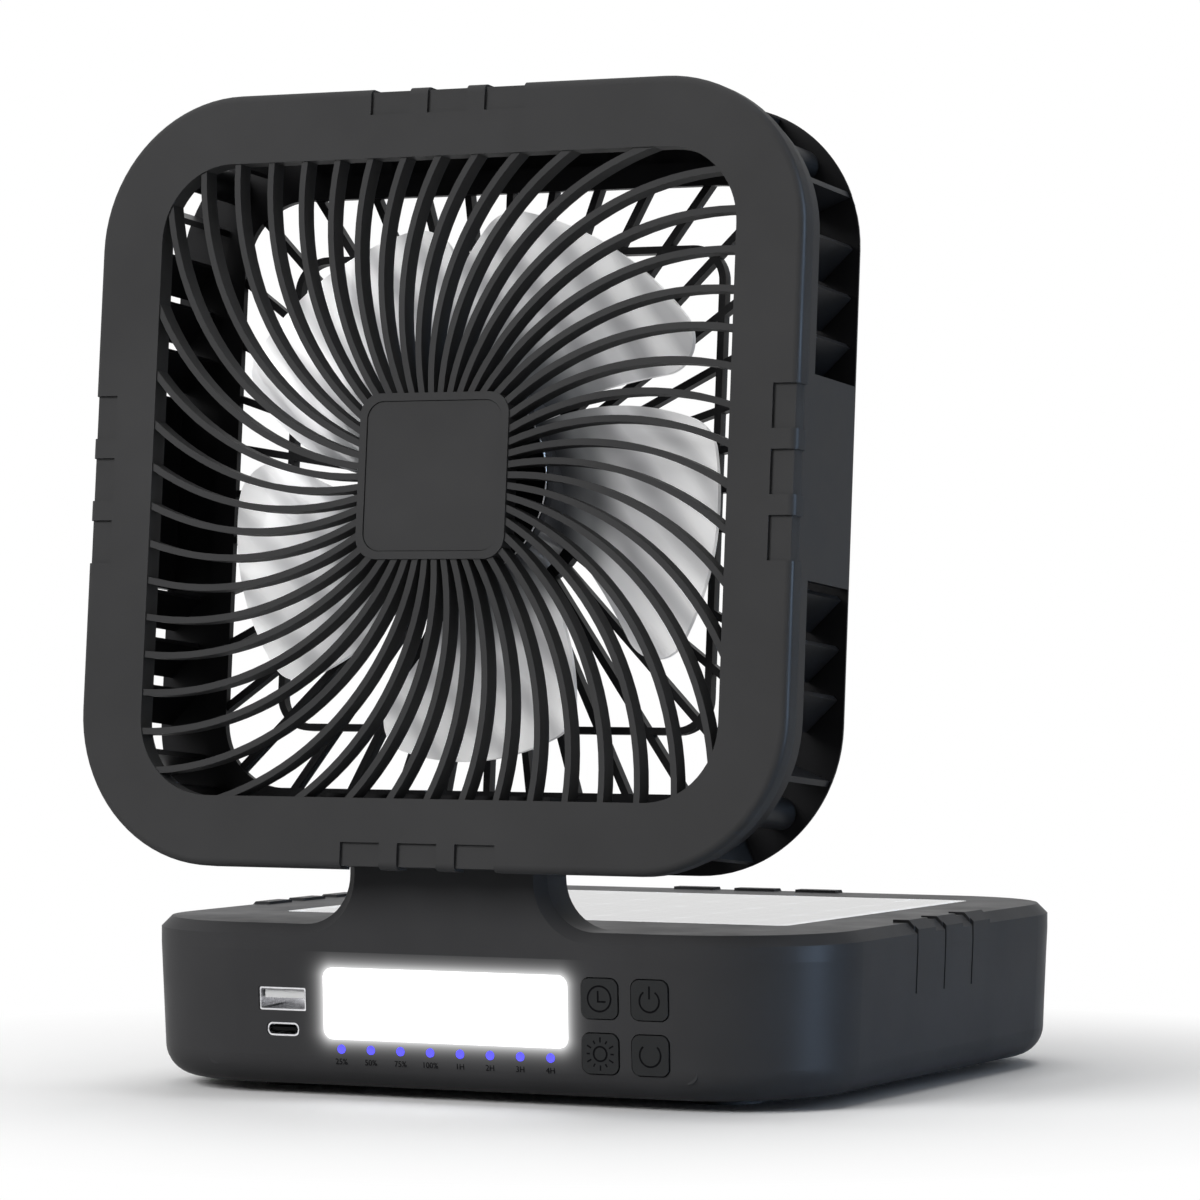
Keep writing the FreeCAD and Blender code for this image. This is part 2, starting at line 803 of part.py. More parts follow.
# The plate that closes the back of the neck, and its two screws
def make_neck_rear_cover():
    body = new_body("neck_rear_cover")
    half = d.neck_cover_width / 2 - d.cover_fit
    low = hinge_z - d.neck_cover_drop + d.cover_fit
    high = low + d.neck_cover_height - d.cover_fit * 2
    sketch = front_sketch(body, d.neck_depth - half_depth)
    draw_rounded(sketch, -half, half, low, high, d.neck_cover_ledge - d.cover_fit)
    for side in (-1, 1):
        draw_circle(sketch, side * d.neck_screw_spacing / 2, (low + high) / 2,
                    d.small_screw_radius + d.panel_fit)
    grow(body, sketch, d.neck_cover_thickness)
    sketch = front_sketch(body, d.neck_depth - half_depth)
    for side in (-1, 1):
        draw_circle(sketch, side * d.neck_screw_spacing / 2, (low + high) / 2,
                    d.small_screw_head_radius + d.panel_fit)
    cut(body, sketch, d.neck_cover_thickness / 2, reverse=True)
    keep(body, place_in_base)


def make_neck_screws():
    body = new_body("neck_screws")
    height = hinge_z - d.neck_cover_drop + d.neck_cover_height / 2
    seat = d.neck_depth - half_depth - d.neck_cover_thickness / 2
    for radius, length, back in ((d.small_screw_head_radius, d.neck_cover_thickness / 2, True),
                                 (d.small_screw_radius, d.small_screw_length, False)):
        sketch = front_sketch(body, seat)
        for side in (-1, 1):
            draw_circle(sketch, side * d.neck_screw_spacing / 2, height, radius)
        grow(body, sketch, length, reverse=back)
    keep(body, place_in_base)


def make_turned(name, places, parts, place):
    """Upright round pieces: each part is (radius, bottom, height)."""
    body = new_body(name)
    for radius, bottom, height in parts:
        sketch = level_sketch(body, bottom)
        for x, y in places:
            draw_circle(sketch, x, y, radius)
        grow(body, sketch, height)
    keep(body, place)


def make_base_fasteners():
    screw_places = corner_places(half_width - d.screw_inset, half_depth - d.screw_inset)
    seat = d.foot_height + d.screw_recess
    make_turned("base_screws", screw_places, [
        (d.screw_head_radius, seat - d.screw_head_height, d.screw_head_height),
        (d.screw_radius, seat, split - seat + d.screw_grip),
    ], place_in_base)
    make_turned("rubber_feet", corner_places(half_width - d.foot_inset, half_depth - d.foot_inset), [
        (d.foot_radius, 0, d.foot_height + d.foot_sink),
    ], place_in_base)


# Solar panel: a white board, dark cells with clipped corners, and a glass
def make_solar_panel():
    half_x = d.solar_width / 2 - d.solar_fit
    low = d.solar_centre - d.solar_length / 2 + d.solar_fit
    high = d.solar_centre + d.solar_length / 2 - d.solar_fit
    corner = d.solar_corner - d.solar_fit
    board_z = cover_top - d.solar_recess
    cell_z = board_z + d.solar_board_thickness
    glass_z = cell_z + d.solar_cell_thickness
    for name, bottom, top in (("solar_board", board_z, cell_z), ("solar_glass", glass_z, cover_top)):
        body = new_body(name)
        sketch = level_sketch(body, bottom)
        draw_rounded(sketch, -half_x, half_x, low, high, corner)
        grow(body, sketch, top - bottom)
        keep(body, place_in_base)

    clip = d.solar_cell_chamfer.number
    columns = cell_edges(-half_x + d.solar_margin, half_x - d.solar_margin, d.solar_pitch_across, 0.5)
    rows = cell_edges(low + d.solar_margin, high - d.solar_margin, d.solar_pitch_along, 0.72)
    cells = []
    for left, right in columns:
        for bottom, top in rows:
            corners = [
                (left + clip, bottom), (right - clip, bottom), (right, bottom + clip),
                (right, top - clip), (right - clip, top), (left + clip, top),
                (left, top - clip), (left, bottom + clip), (left + clip, bottom),
            ]
            wire = Part.makePolygon([FreeCAD.Vector(x, y, cell_z.number) for x, y in corners])
            cells.append(Part.Face(wire).extrude(FreeCAD.Vector(0, 0, d.solar_cell_thickness.number)))
    piece = doc.addObject("Part::Feature", "solar_cells")
    piece.Label = "solar_cells"
    piece.Shape = Part.makeCompound(cells)
    keep(piece, place_in_base)


def cell_edges(low, high, pitch, phase):
    """Spans of the cells between two edges, with the grid lines a pitch apart."""
    low, high, pitch = low.number, high.number, pitch.number
    lines = []
    index = math.ceil(low / pitch - phase)
    while (index + phase) * pitch < high:
        line = pitch * (index + phase)
        if line - low > pitch / 4 and high - line > pitch / 4:
            lines.append(line)
        index += 1
    edges = [low] + lines + [high]
    gap = d.solar_line.number / 2
    return [(first + gap, last - gap) for first, last in zip(edges, edges[1:])]


# Light panel: lens, reflector frame, board and its light-emitting chips
def make_light():
    lens = new_body("light_lens")
    sketch = front_sketch(lens, 0)
    draw_centred(sketch, 0, -d.lens_drop, d.lens_width, d.lens_height, d.lens_corner)
    flange_front = d.base_wall + d.panel_fit
    grow(lens, sketch, flange_front, reverse=True)
    sketch = front_sketch(lens, flange_front)
    flange_width = d.lens_width + d.lens_flange * 2
    flange_height = d.lens_height + d.lens_flange * 2
    flange_corner = d.lens_corner + d.lens_flange
    draw_centred(sketch, 0, -d.lens_drop, flange_width, flange_height, flange_corner)
    grow(lens, sketch, d.lens_flange_thickness, reverse=True)
    keep(lens, place_on_panel)

    frame = new_body("light_reflector")
    front = flange_front + d.lens_flange_thickness
    sketch = front_sketch(frame, front)
    draw_centred(sketch, 0, -d.lens_drop, flange_width, flange_height, flange_corner)
    draw_centred(sketch, 0, -d.lens_drop, flange_width - d.reflector_wall * 2,
                 flange_height - d.reflector_wall * 2, flange_corner - d.reflector_wall)
    grow(frame, sketch, d.led_board_depth - front, reverse=True)
    keep(frame, place_on_panel)

    board = new_body("light_board")
    sketch = front_sketch(board, d.led_board_depth)
    draw_centred(sketch, 0, -d.lens_drop, flange_width, flange_height, 1.0)
    grow(board, sketch, d.led_board_thickness, reverse=True)
    spacer = front_sketch(board, d.led_board_depth + d.led_board_thickness / 2)
    for side in (-1, 1):
        draw_circle(spacer, side * d.lens_width * 0.4, -d.lens_drop, d.board_post_radius)
    grow(board, spacer, d.board_depth - d.led_board_depth - d.led_board_thickness / 2, reverse=True)
    keep(board, place_on_panel)

    chips = new_body("light_chips")
    sketch = front_sketch(chips, d.led_board_depth)
    half = d.led_size / 2
    for column in range(8):
        for row in (-0.5, 0.5):
            x = d.led_pitch * (column - 3.5)
            z = d.led_pitch * row - d.lens_drop
            draw_rectangle(sketch, x - half, x + half, z - half, z + half)
    grow(chips, sketch, d.led_thickness)
    keep(chips, place_on_panel)


def make_indicator_light_pipe():
    body = new_body("indicator_light_pipe")
    sketch = front_sketch(body, 0)
    for place in indicator_places():
        draw_circle(sketch, place, -d.indicator_drop, d.indicator_radius)
    grow(body, sketch, d.indicator_length, reverse=True)
    half = d.indicator_pitch * 3.5 + d.indicator_radius
    low = -d.indicator_drop - d.indicator_bar / 2
    sketch = front_sketch(body, d.indicator_length - d.indicator_bar / 2)
    draw_rectangle(sketch, -half, half, low, low + d.indicator_bar)
    grow(body, sketch, d.board_depth - d.indicator_length + d.indicator_bar / 2, reverse=True)
    keep(body, place_on_panel)


# Sockets: a folded sheet shell and a tongue each, carried by the control board
def make_sockets():
    for name, width, height, drop, corner, tongue_share, tongue_lift in (
            ("usb_a", d.usb_a_width, d.usb_a_height, d.usb_a_drop, d.usb_corner, 0.36, 0.2),
            ("usb_c", d.usb_c_width, d.usb_c_height, d.usb_c_drop, d.usb_c_height * 0.45, 0.25, 0)):
        shell = new_body(name + "_shell")
        sketch = front_sketch(shell, d.usb_set_back)
        draw_centred(sketch, -d.usb_across, -drop, width, height, corner)
        grow(shell, sketch, d.board_depth - d.usb_set_back, reverse=True)
        sketch = front_sketch(shell, d.usb_set_back)
        draw_centred(sketch, -d.usb_across, -drop, width - d.usb_sheet * 2,
                     height - d.usb_sheet * 2, corner * 0.8)
        cut(shell, sketch, d.board_depth - d.usb_set_back - d.usb_sheet)
        keep(shell, place_on_panel)
        tongue = new_body(name + "_tongue")
        half = width * 0.42
        middle = height * tongue_lift - drop
        thickness = height * tongue_share
        front = d.usb_set_back + 1.0
        sketch = front_sketch(tongue, front)
        draw_rectangle(sketch, -d.usb_across - half, half - d.usb_across,
                       middle - thickness / 2, middle + thickness / 2)
        grow(tongue, sketch, d.board_depth - d.usb_sheet - front, reverse=True)
        keep(tongue, place_on_panel)


# Push buttons: a square cap, a flange behind the wall and a stem to its switch
def make_buttons():
    names = ("timer_button", "power_button", "light_button", "speed_button")
    size = d.button_hole - d.button_gap * 2
    flange = d.button_hole + d.button_flange
    corner = d.button_corner - d.button_gap
    flange_front = d.base_wall + d.button_gap
    stem_end = d.board_depth - d.switch_height - d.button_travel - d.panel_fit
    for name, (x, z) in zip(names, button_places()):
        body = new_body(name)
        sketch = front_sketch(body, -d.button_proud)
        draw_centred(sketch, x, z, size, size, corner)
        grow(body, sketch, flange_front + d.button_proud, reverse=True)
        sketch = front_sketch(body, flange_front)
        draw_centred(sketch, x, z, flange, flange, d.button_corner)
        grow(body, sketch, d.button_flange, reverse=True)
        sketch = front_sketch(body, flange_front + d.button_flange / 2)
        draw_circle(sketch, x, z, d.button_stem_radius)
        grow(body, sketch, stem_end - flange_front - d.button_flange / 2, reverse=True)
        keep(body, place_on_panel)

    switches = new_body("tact_switches")
    sketch = front_sketch(switches, d.board_depth - d.switch_height)
    for x, z in button_places():
        draw_centred(sketch, x, z, d.switch_size, d.switch_size, 0.6)
    grow(switches, sketch, d.switch_height, reverse=True)
    keep(switches, place_on_panel)


def make_control_board():
    body = new_body("control_board")
    sketch = front_sketch(body, d.board_depth)
    draw_centred(sketch, 0, -d.board_drop, d.board_width, d.board_height, 1.0)
    grow(body, sketch, d.board_thickness, reverse=True)
    keep(body, place_on_panel)


# Battery: cells lying side by side in an open tray on the floor of the base
def make_battery():
    count = int(d.cell_count.number)
    pitch = d.cell_radius * 2 + d.cell_gap
    half_x = d.cell_length / 2
    cell_z = floor_top + d.tray_floor + d.cell_radius
    places = [d.battery_centre + pitch * (index - (count - 1) / 2) for index in range(count)]
    cells = new_body("battery_cells")
    sketch = side_sketch(cells, 0)
    for y in places:
        draw_circle(sketch, y, cell_z, d.cell_radius)
    grow(cells, sketch, d.cell_length, symmetric=True)
    keep(cells, place_in_base)

    tray = new_body("battery_tray")
    inner_x = half_x + d.cell_gap
    low = places[0] - d.cell_radius - d.cell_gap
    high = places[-1] + d.cell_radius + d.cell_gap
    sketch = level_sketch(tray, floor_top)
    draw_rounded(sketch, -inner_x - d.tray_wall, inner_x + d.tray_wall,
                 low - d.tray_wall, high + d.tray_wall, 3.0)
    grow(tray, sketch, d.tray_floor + d.tray_height)
    sketch = level_sketch(tray, floor_top + d.tray_floor)
    draw_rounded(sketch, -inner_x, inner_x, low, high, 1.0)
    cut(tray, sketch, d.tray_height, reverse=True)
    keep(tray, place_in_base)


# Front grille: the bezel, the curved ribs and the hub plate in one moulding
def make_front_grille():
    half_x = d.head_width / 2
    half_z = d.head_height / 2
    open_x = d.opening_width / 2
    open_z = d.opening_height / 2
    bezel = new_body("bezel")
    sketch = front_sketch(bezel, 0)
    draw_rounded(sketch, -half_x, half_x, -half_z, half_z, d.head_corner)
    draw_rounded(sketch, -open_x, open_x, -open_z, open_z, d.opening_corner)
    face = grow(bezel, sketch, d.bezel_depth, reverse=True)
    doc.recompute()

    def on_outer_edge(point):
        inside = abs(point.x) < open_x.number + 1 and abs(point.z) < open_z.number + 1
        return near(point.y, 0) and not inside

    dress(bezel, "Fillet", face, edge_names(face, on_outer_edge), d.bezel_rounding)
    wall = d.bezel_wall
    rim = d.opening_wall
    sketch = front_sketch(bezel, d.bezel_depth)
    draw_rounded(sketch, wall - half_x, half_x - wall, wall - half_z, half_z - wall,
                 d.head_corner - wall)
    draw_rounded(sketch, -open_x - rim, open_x + rim, -open_z - rim, open_z + rim,
                 d.opening_corner + rim)
    cut(bezel, sketch, d.bezel_depth - d.bezel_face, reverse=True)
    sketch = front_sketch(bezel, d.bezel_face / 2)
    for x, z in corner_places(half_x - d.post_inset, half_z - d.post_inset):
        draw_circle(sketch, x, z, d.post_radius)
    grow(bezel, sketch, d.bezel_depth - d.bezel_face / 2, reverse=True)
    sketch = front_sketch(bezel, d.bezel_depth)
    for x, z in corner_places(half_x - d.post_inset, half_z - d.post_inset):
        draw_circle(sketch, x, z, d.small_screw_radius + d.pin_clearance)
    cut(bezel, sketch, d.bezel_depth - d.post_screw_end + d.panel_fit, reverse=True)
    for reach, depth in ((d.notch_reach, d.notch_depth), (d.notch_depth, d.bezel_depth + 1)):
        sketch = front_sketch(bezel, 0)
        for left, right, bottom, top in notch_places(half_x, half_z, reach):
            draw_rectangle(sketch, left, right, bottom, top)
        cut(bezel, sketch, depth)

    ribs = new_body("ribs")
    sketch = front_sketch(ribs, d.rib_set_back)
    half = d.rib_width / 2
    inward = (d.rib_tangent_radius - d.rib_start_radius) / d.rib_arc_radius
    inner = d.rib_arc_radius - half
    outer = d.rib_arc_radius + half
    start = as_size(-math.degrees(math.asin(inward.number)))
    end = d.rib_end_angle
    centre_x = d.rib_tangent_radius
    centre_z = -d.rib_arc_radius
    draw_outline(sketch, [
        (centre_x + outer * sine(start), centre_z + outer * cosine(start)),
        (centre_x + outer * sine(end), centre_z + outer * cosine(end), outer, 1),
        (centre_x + inner * sine(end), centre_z + inner * cosine(end)),
        (centre_x + inner * sine(start), centre_z + inner * cosine(start), inner, -1),
    ])
    rib = grow(ribs, sketch, d.rib_depth, reverse=True)
    pattern = ribs.newObject("PartDesign::PolarPattern", "rib_pattern")
    pattern.Originals = [rib]
    pattern.Axis = (origin_plane(ribs, "Y_Axis"), [""])
    bind(pattern, "Occurrences", d.rib_count)
    ribs.Tip = pattern

    window = new_body("rib_window")
    sketch = front_sketch(window, 0)
    grip = d.rib_grip
    draw_rounded(sketch, -open_x - grip, open_x + grip, -open_z - grip, open_z + grip,
                 d.opening_corner + grip)
    inside = d.hub_plate - grip * 2
    draw_centred(sketch, 0, 0, inside, inside, d.hub_plate_corner - grip)
    grow(window, sketch, d.head_depth, reverse=True)

    trimmed = doc.addObject("Part::Common", "trimmed_ribs")
    trimmed.Base = ribs
    trimmed.Tool = window

    hub = new_body("hub_plate")
    sketch = front_sketch(hub, 0)
    draw_centred(sketch, 0, 0, d.hub_plate, d.hub_plate, d.hub_plate_corner)
    grow(hub, sketch, d.rib_set_back + d.rib_depth, reverse=True)
    sketch = front_sketch(hub, 0)
    draw_centred(sketch, 0, 0, d.badge_size, d.badge_size, d.badge_corner)
    cut(hub, sketch, d.badge_thickness)

    grille = doc.addObject("Part::MultiFuse", "front_grille")
    grille.Shapes = [bezel, trimmed, hub]
    grille.Refine = True
    grille.Label = "front_grille"
    keep(grille, place_in_head)

    badge = new_body("badge_plate")
    sketch = front_sketch(badge, d.badge_set_back)
    size = d.badge_size - d.badge_fit * 2
    draw_centred(sketch, 0, 0, size, size, d.badge_corner - d.badge_fit)
    grow(badge, sketch, d.badge_thickness - d.badge_set_back, reverse=True)
    keep(badge, place_in_head)


def notch_places(half_x, half_z, reach):
    """Three notches in the middle of each of the bezel's four edges."""
    beyond = 1.0
    half = d.notch_length / 2
    spans = []
    for step in (-1, 0, 1):
        middle = d.notch_pitch * step
        for side in (-1, 1):
            across = sorted((side * (half_x - reach), side * (half_x + beyond)), key=lambda size: size.number)
            along = sorted((side * (half_z - reach), side * (half_z + beyond)), key=lambda size: size.number)
            spans.append((across[0], across[1], middle - half, middle + half))
            spans.append((middle - half, middle + half, along[0], along[1]))
    return spans


# Rear housing: square shell with corner vents, louvres, posts and hinge box
def make_rear_housing():
    half_x = d.head_width / 2 - d.housing_inset
    half_z = d.head_height / 2 - d.housing_inset
    corner = d.head_corner - d.housing_inset
    wall = d.housing_wall
    body = new_body("rear_housing")
    sketch = front_sketch(body, d.bezel_depth)
    draw_rounded(sketch, -half_x, half_x, -half_z, half_z, corner)
    block = grow(body, sketch, d.head_depth - d.bezel_depth, reverse=True)
    doc.recompute()
    rear_edges = edge_names(block, lambda point: near(point.y, d.head_depth))
    dress(body, "Fillet", block, rear_edges, d.housing_rounding)
    sketch = front_sketch(body, d.bezel_depth)
    draw_rounded(sketch, wall - half_x, half_x - wall, wall - half_z, half_z - wall, corner - wall)
    cut(body, sketch, d.head_depth - d.bezel_depth - wall)
    sketch = front_sketch(body, d.bezel_depth)
    draw_centred(sketch, 0, 0, d.rear_opening, d.rear_opening, d.rear_opening_corner)
    cut(body, sketch, d.head_depth)

    far = d.head_width
    shallow = half_x - wall * 4
    bend = half_x - corner
    sketch = front_sketch(body, d.window_front)
    for side in (-1, 1):
        for end, start in ((1, d.window_start), (-1, d.window_start_below)):
            corners = [(start, far), (far, far), (far, d.window_start), (shallow, d.window_start),
                       (shallow, bend), (bend, shallow), (start, shallow)]
            draw_outline(sketch, [(side * u, end * v) for u, v in corners])
    cut(body, sketch, d.window_rear - d.window_front)

    sketch = front_sketch(body, (d.bezel_depth + d.window_front) / 2)
    for corners in louvre_places(half_x, half_z, corner):
        draw_outline(sketch, corners)
    grow(body, sketch, d.window_rear - (d.bezel_depth + d.window_front) / 2 + wall / 2, reverse=True)

    posts = corner_places(d.head_width / 2 - d.post_inset, d.head_height / 2 - d.post_inset)
    sketch = front_sketch(body, d.bezel_depth)
    for x, z in posts:
        draw_circle(sketch, x, z, d.post_radius)
    grow(body, sketch, d.head_depth - d.bezel_depth, reverse=True)
    sketch = front_sketch(body, d.head_depth)
    for x, z in posts:
        draw_circle(sketch, x, z, d.small_screw_radius + d.panel_fit)
    cut(body, sketch, d.head_depth, reverse=True)
    sketch = front_sketch(body, d.head_depth)
    for x, z in posts:
        draw_circle(sketch, x, z, d.screw_head_radius)
    cut(body, sketch, d.head_depth - d.post_screw_depth, reverse=True)

    inner = d.neck_width / 2 + d.slot_clearance
    flare = inner + d.slot_flare
    slot_front = d.axis_depth - d.slot_front
    thick = d.slot_wall
    bottom = -half_z
    sketch = level_sketch(body, bottom)
    draw_outline(sketch, [
        (-inner - thick, slot_front - thick), (inner + thick, slot_front - thick),
        (inner + thick, d.head_depth - d.slot_flare), (flare + thick, d.head_depth),
        (-flare - thick, d.head_depth), (-inner - thick, d.head_depth - d.slot_flare),
    ])
    grow(body, sketch, axis_z + d.slot_rise + thick - bottom)
    sketch = level_sketch(body, bottom - 1)
    draw_outline(sketch, [
        (-inner, slot_front), (inner, slot_front), (inner, d.head_depth - d.slot_flare),
        (flare + 1, d.head_depth + 1), (-flare - 1, d.head_depth + 1), (-inner, d.head_depth - d.slot_flare),
    ])
    cut(body, sketch, axis_z + d.slot_rise - bottom + 1, reverse=True)

    lug_inner = d.knuckle_width / 2 + d.washer_thickness + d.washer_clearance * 2
    for side in (-1, 1):
        sketch = side_sketch(body, side * lug_inner)
        draw_circle(sketch, d.axis_depth, axis_z, d.washer_radius)
        grow(body, sketch, inner + thick / 2 - lug_inner, reverse=side < 0)
    sketch = side_sketch(body, 0)
    draw_circle(sketch, d.axis_depth, axis_z, d.pin_radius)
    cut(body, sketch, (inner + thick) * 2 + 1, symmetric=True)
    keep(body, place_in_head)


def louvre_places(half_x, half_z, corner):
    """Outlines of the slanted louvre blades that stand in the vent windows."""
    outlines = []
    long_half = d.louvre_length / 2
    thin_half = d.louvre_thickness / 2
    depth = long_half * cosine(d.louvre_angle) + d.housing_wall

    def blade(x, z, angle):
        along_x = long_half * cosine(angle)
        along_z = long_half * sine(angle)
        across_x = thin_half * sine(angle) * -1
        across_z = thin_half * cosine(angle)
        outlines.append([
            (x - along_x - across_x, z - along_z - across_z), (x + along_x - across_x, z + along_z - across_z),
            (x + along_x + across_x, z + along_z + across_z), (x - along_x + across_x, z - along_z + across_z),
        ])

    count = int(d.louvre_count.number)
    for side in (-1, 1):
        for end in (-1, 1):
            start = d.window_start if end > 0 else d.window_start_below
            for index in range(count):
                along = d.window_start + d.louvre_pitch * (index + 0.5)
                if along.number < half_z.number - corner.number + 4:
                    blade(side * (half_x - depth), end * along, d.louvre_angle)
                along = start + d.louvre_pitch * (index + 0.5)
                if along.number < half_x.number - corner.number + 4:
                    blade(side * along, end * (half_z - depth), d.louvre_angle)
            for turn in (22.5, 67.5):
                spoke = as_size(turn)
                reach = corner - depth
                x = half_x - corner + reach * cosine(spoke)
                z = half_z - corner + reach * sine(spoke)
                blade(side * x, end * z, as_size(side * end * turn))
    return outlines


# Rear grille: straight bars and a square ring round the motor plate
def make_rear_grille():
    half = d.rear_opening / 2
    corner = d.rear_opening_corner
    front = d.rear_bar_front
    bars = new_body("rear_bars")
    sketch = front_sketch(bars, front)
    width = d.rear_bar_width / 2
    draw_rectangle(sketch, d.motor_plate_radius - 2, d.rear_opening * 0.75, -width, width)
    bar = grow(bars, sketch, d.rear_bar_depth, reverse=True)
    pattern = bars.newObject("PartDesign::PolarPattern", "bar_pattern")
    pattern.Originals = [bar]
    pattern.Axis = (origin_plane(bars, "Y_Axis"), [""])
    bind(pattern, "Occurrences", d.rear_bar_count)
    bars.Tip = pattern

    window = new_body("bar_window")
    sketch = front_sketch(window, 0)
    draw_centred(sketch, 0, 0, d.rear_opening - d.cover_fit * 2, d.rear_opening - d.cover_fit * 2,
                 corner - d.cover_fit)
    grow(window, sketch, d.head_depth, reverse=True)
    gap = d.neck_width / 2 + d.slot_clearance + d.slot_flare + d.slot_wall + d.cover_fit
    hinge_box_top = axis_z + d.slot_rise + d.slot_wall + d.cover_fit
    sketch = front_sketch(window, 0)
    draw_rectangle(sketch, -gap, gap, -d.rear_opening, hinge_box_top)
    cut(window, sketch, d.head_depth)
    trimmed = doc.addObject("Part::Common", "trimmed_bars")
    trimmed.Base = bars
    trimmed.Tool = window

    frame = new_body("rear_frame")
    seat = d.head_depth - d.housing_wall
    outer = half + d.rear_frame_width
    inner = half - d.rear_frame_width
    sketch = front_sketch(frame, seat)
    draw_rounded(sketch, -outer, outer, -outer, outer, corner + d.rear_frame_width)
    draw_rounded(sketch, -inner, inner, -inner, inner, corner - d.rear_frame_width)
    grow(frame, sketch, d.rear_frame_thickness)
    sketch = front_sketch(frame, seat)
    draw_rectangle(sketch, -gap, gap, -d.rear_opening, hinge_box_top)
    cut(frame, sketch, d.rear_frame_thickness, reverse=True)

    ring = new_body("rear_ring")
    sketch = front_sketch(ring, front)
    ring_in = d.rear_ring_half - d.rear_ring_width
    draw_rounded(sketch, -d.rear_ring_half, d.rear_ring_half, -d.rear_ring_half, d.rear_ring_half,
                 d.rear_ring_corner)
    draw_rounded(sketch, -ring_in, ring_in, -ring_in, ring_in, d.rear_ring_corner - d.rear_ring_width)
    grow(ring, sketch, d.rear_bar_depth, reverse=True)

    plate = new_body("motor_plate")
    sketch = front_sketch(plate, d.head_depth - d.motor_plate_thickness)
    draw_circle(sketch, 0, 0, d.motor_plate_radius)
    grow(plate, sketch, d.motor_plate_thickness, reverse=True)
    sketch = front_sketch(plate, d.tube_front)
    draw_circle(sketch, 0, 0, d.tube_radius)
    grow(plate, sketch, d.head_depth - d.tube_front - 0.5, reverse=True)
    sketch = front_sketch(plate, d.motor_board_depth + d.motor_board_thickness)
    for x, z in motor_screw_places():
        draw_circle(sketch, x, z, d.small_screw_radius + d.motor_post_wall)
    grow(plate, sketch, d.head_depth - d.motor_board_depth - d.motor_board_thickness - 0.5, reverse=True)
    sketch = front_sketch(plate, d.tube_front)
    draw_circle(sketch, 0, 0, d.bearing_radius)
    cut(plate, sketch, d.shaft_rear + 0.4 - d.tube_front)
    sketch = front_sketch(plate, d.motor_board_depth + d.motor_board_thickness)
    for x, z in motor_screw_places():
        draw_circle(sketch, x, z, d.small_screw_radius + d.pin_clearance)
    cut(plate, sketch, d.motor_screw_grip + d.panel_fit)

    grille = doc.addObject("Part::MultiFuse", "rear_grille")
    grille.Shapes = [trimmed, frame, ring, plate]
    grille.Refine = True
    grille.Label = "rear_grille"
    keep(grille, place_in_head)


def motor_screw_places():
    """Three screws round the bearing tube."""
    return [(d.motor_screw_radius_at * cosine(as_size(angle)), d.motor_screw_radius_at * sine(as_size(angle)))
            for angle in (90, 210, 330)]


def make_round(name, parts, place):
    """A piece turned about the head's middle: each part is (outer, inner, front, rear)."""
    body = new_body(name)
    for outer, inner, front, rear in parts:
        front = as_size(front)
        sketch = front_sketch(body, front)
        draw_circle(sketch, 0, 0, outer)
        if inner is not None:
            draw_circle(sketch, 0, 0, inner)
        grow(body, sketch, rear - front, reverse=True)
    keep(body, place)
    return body


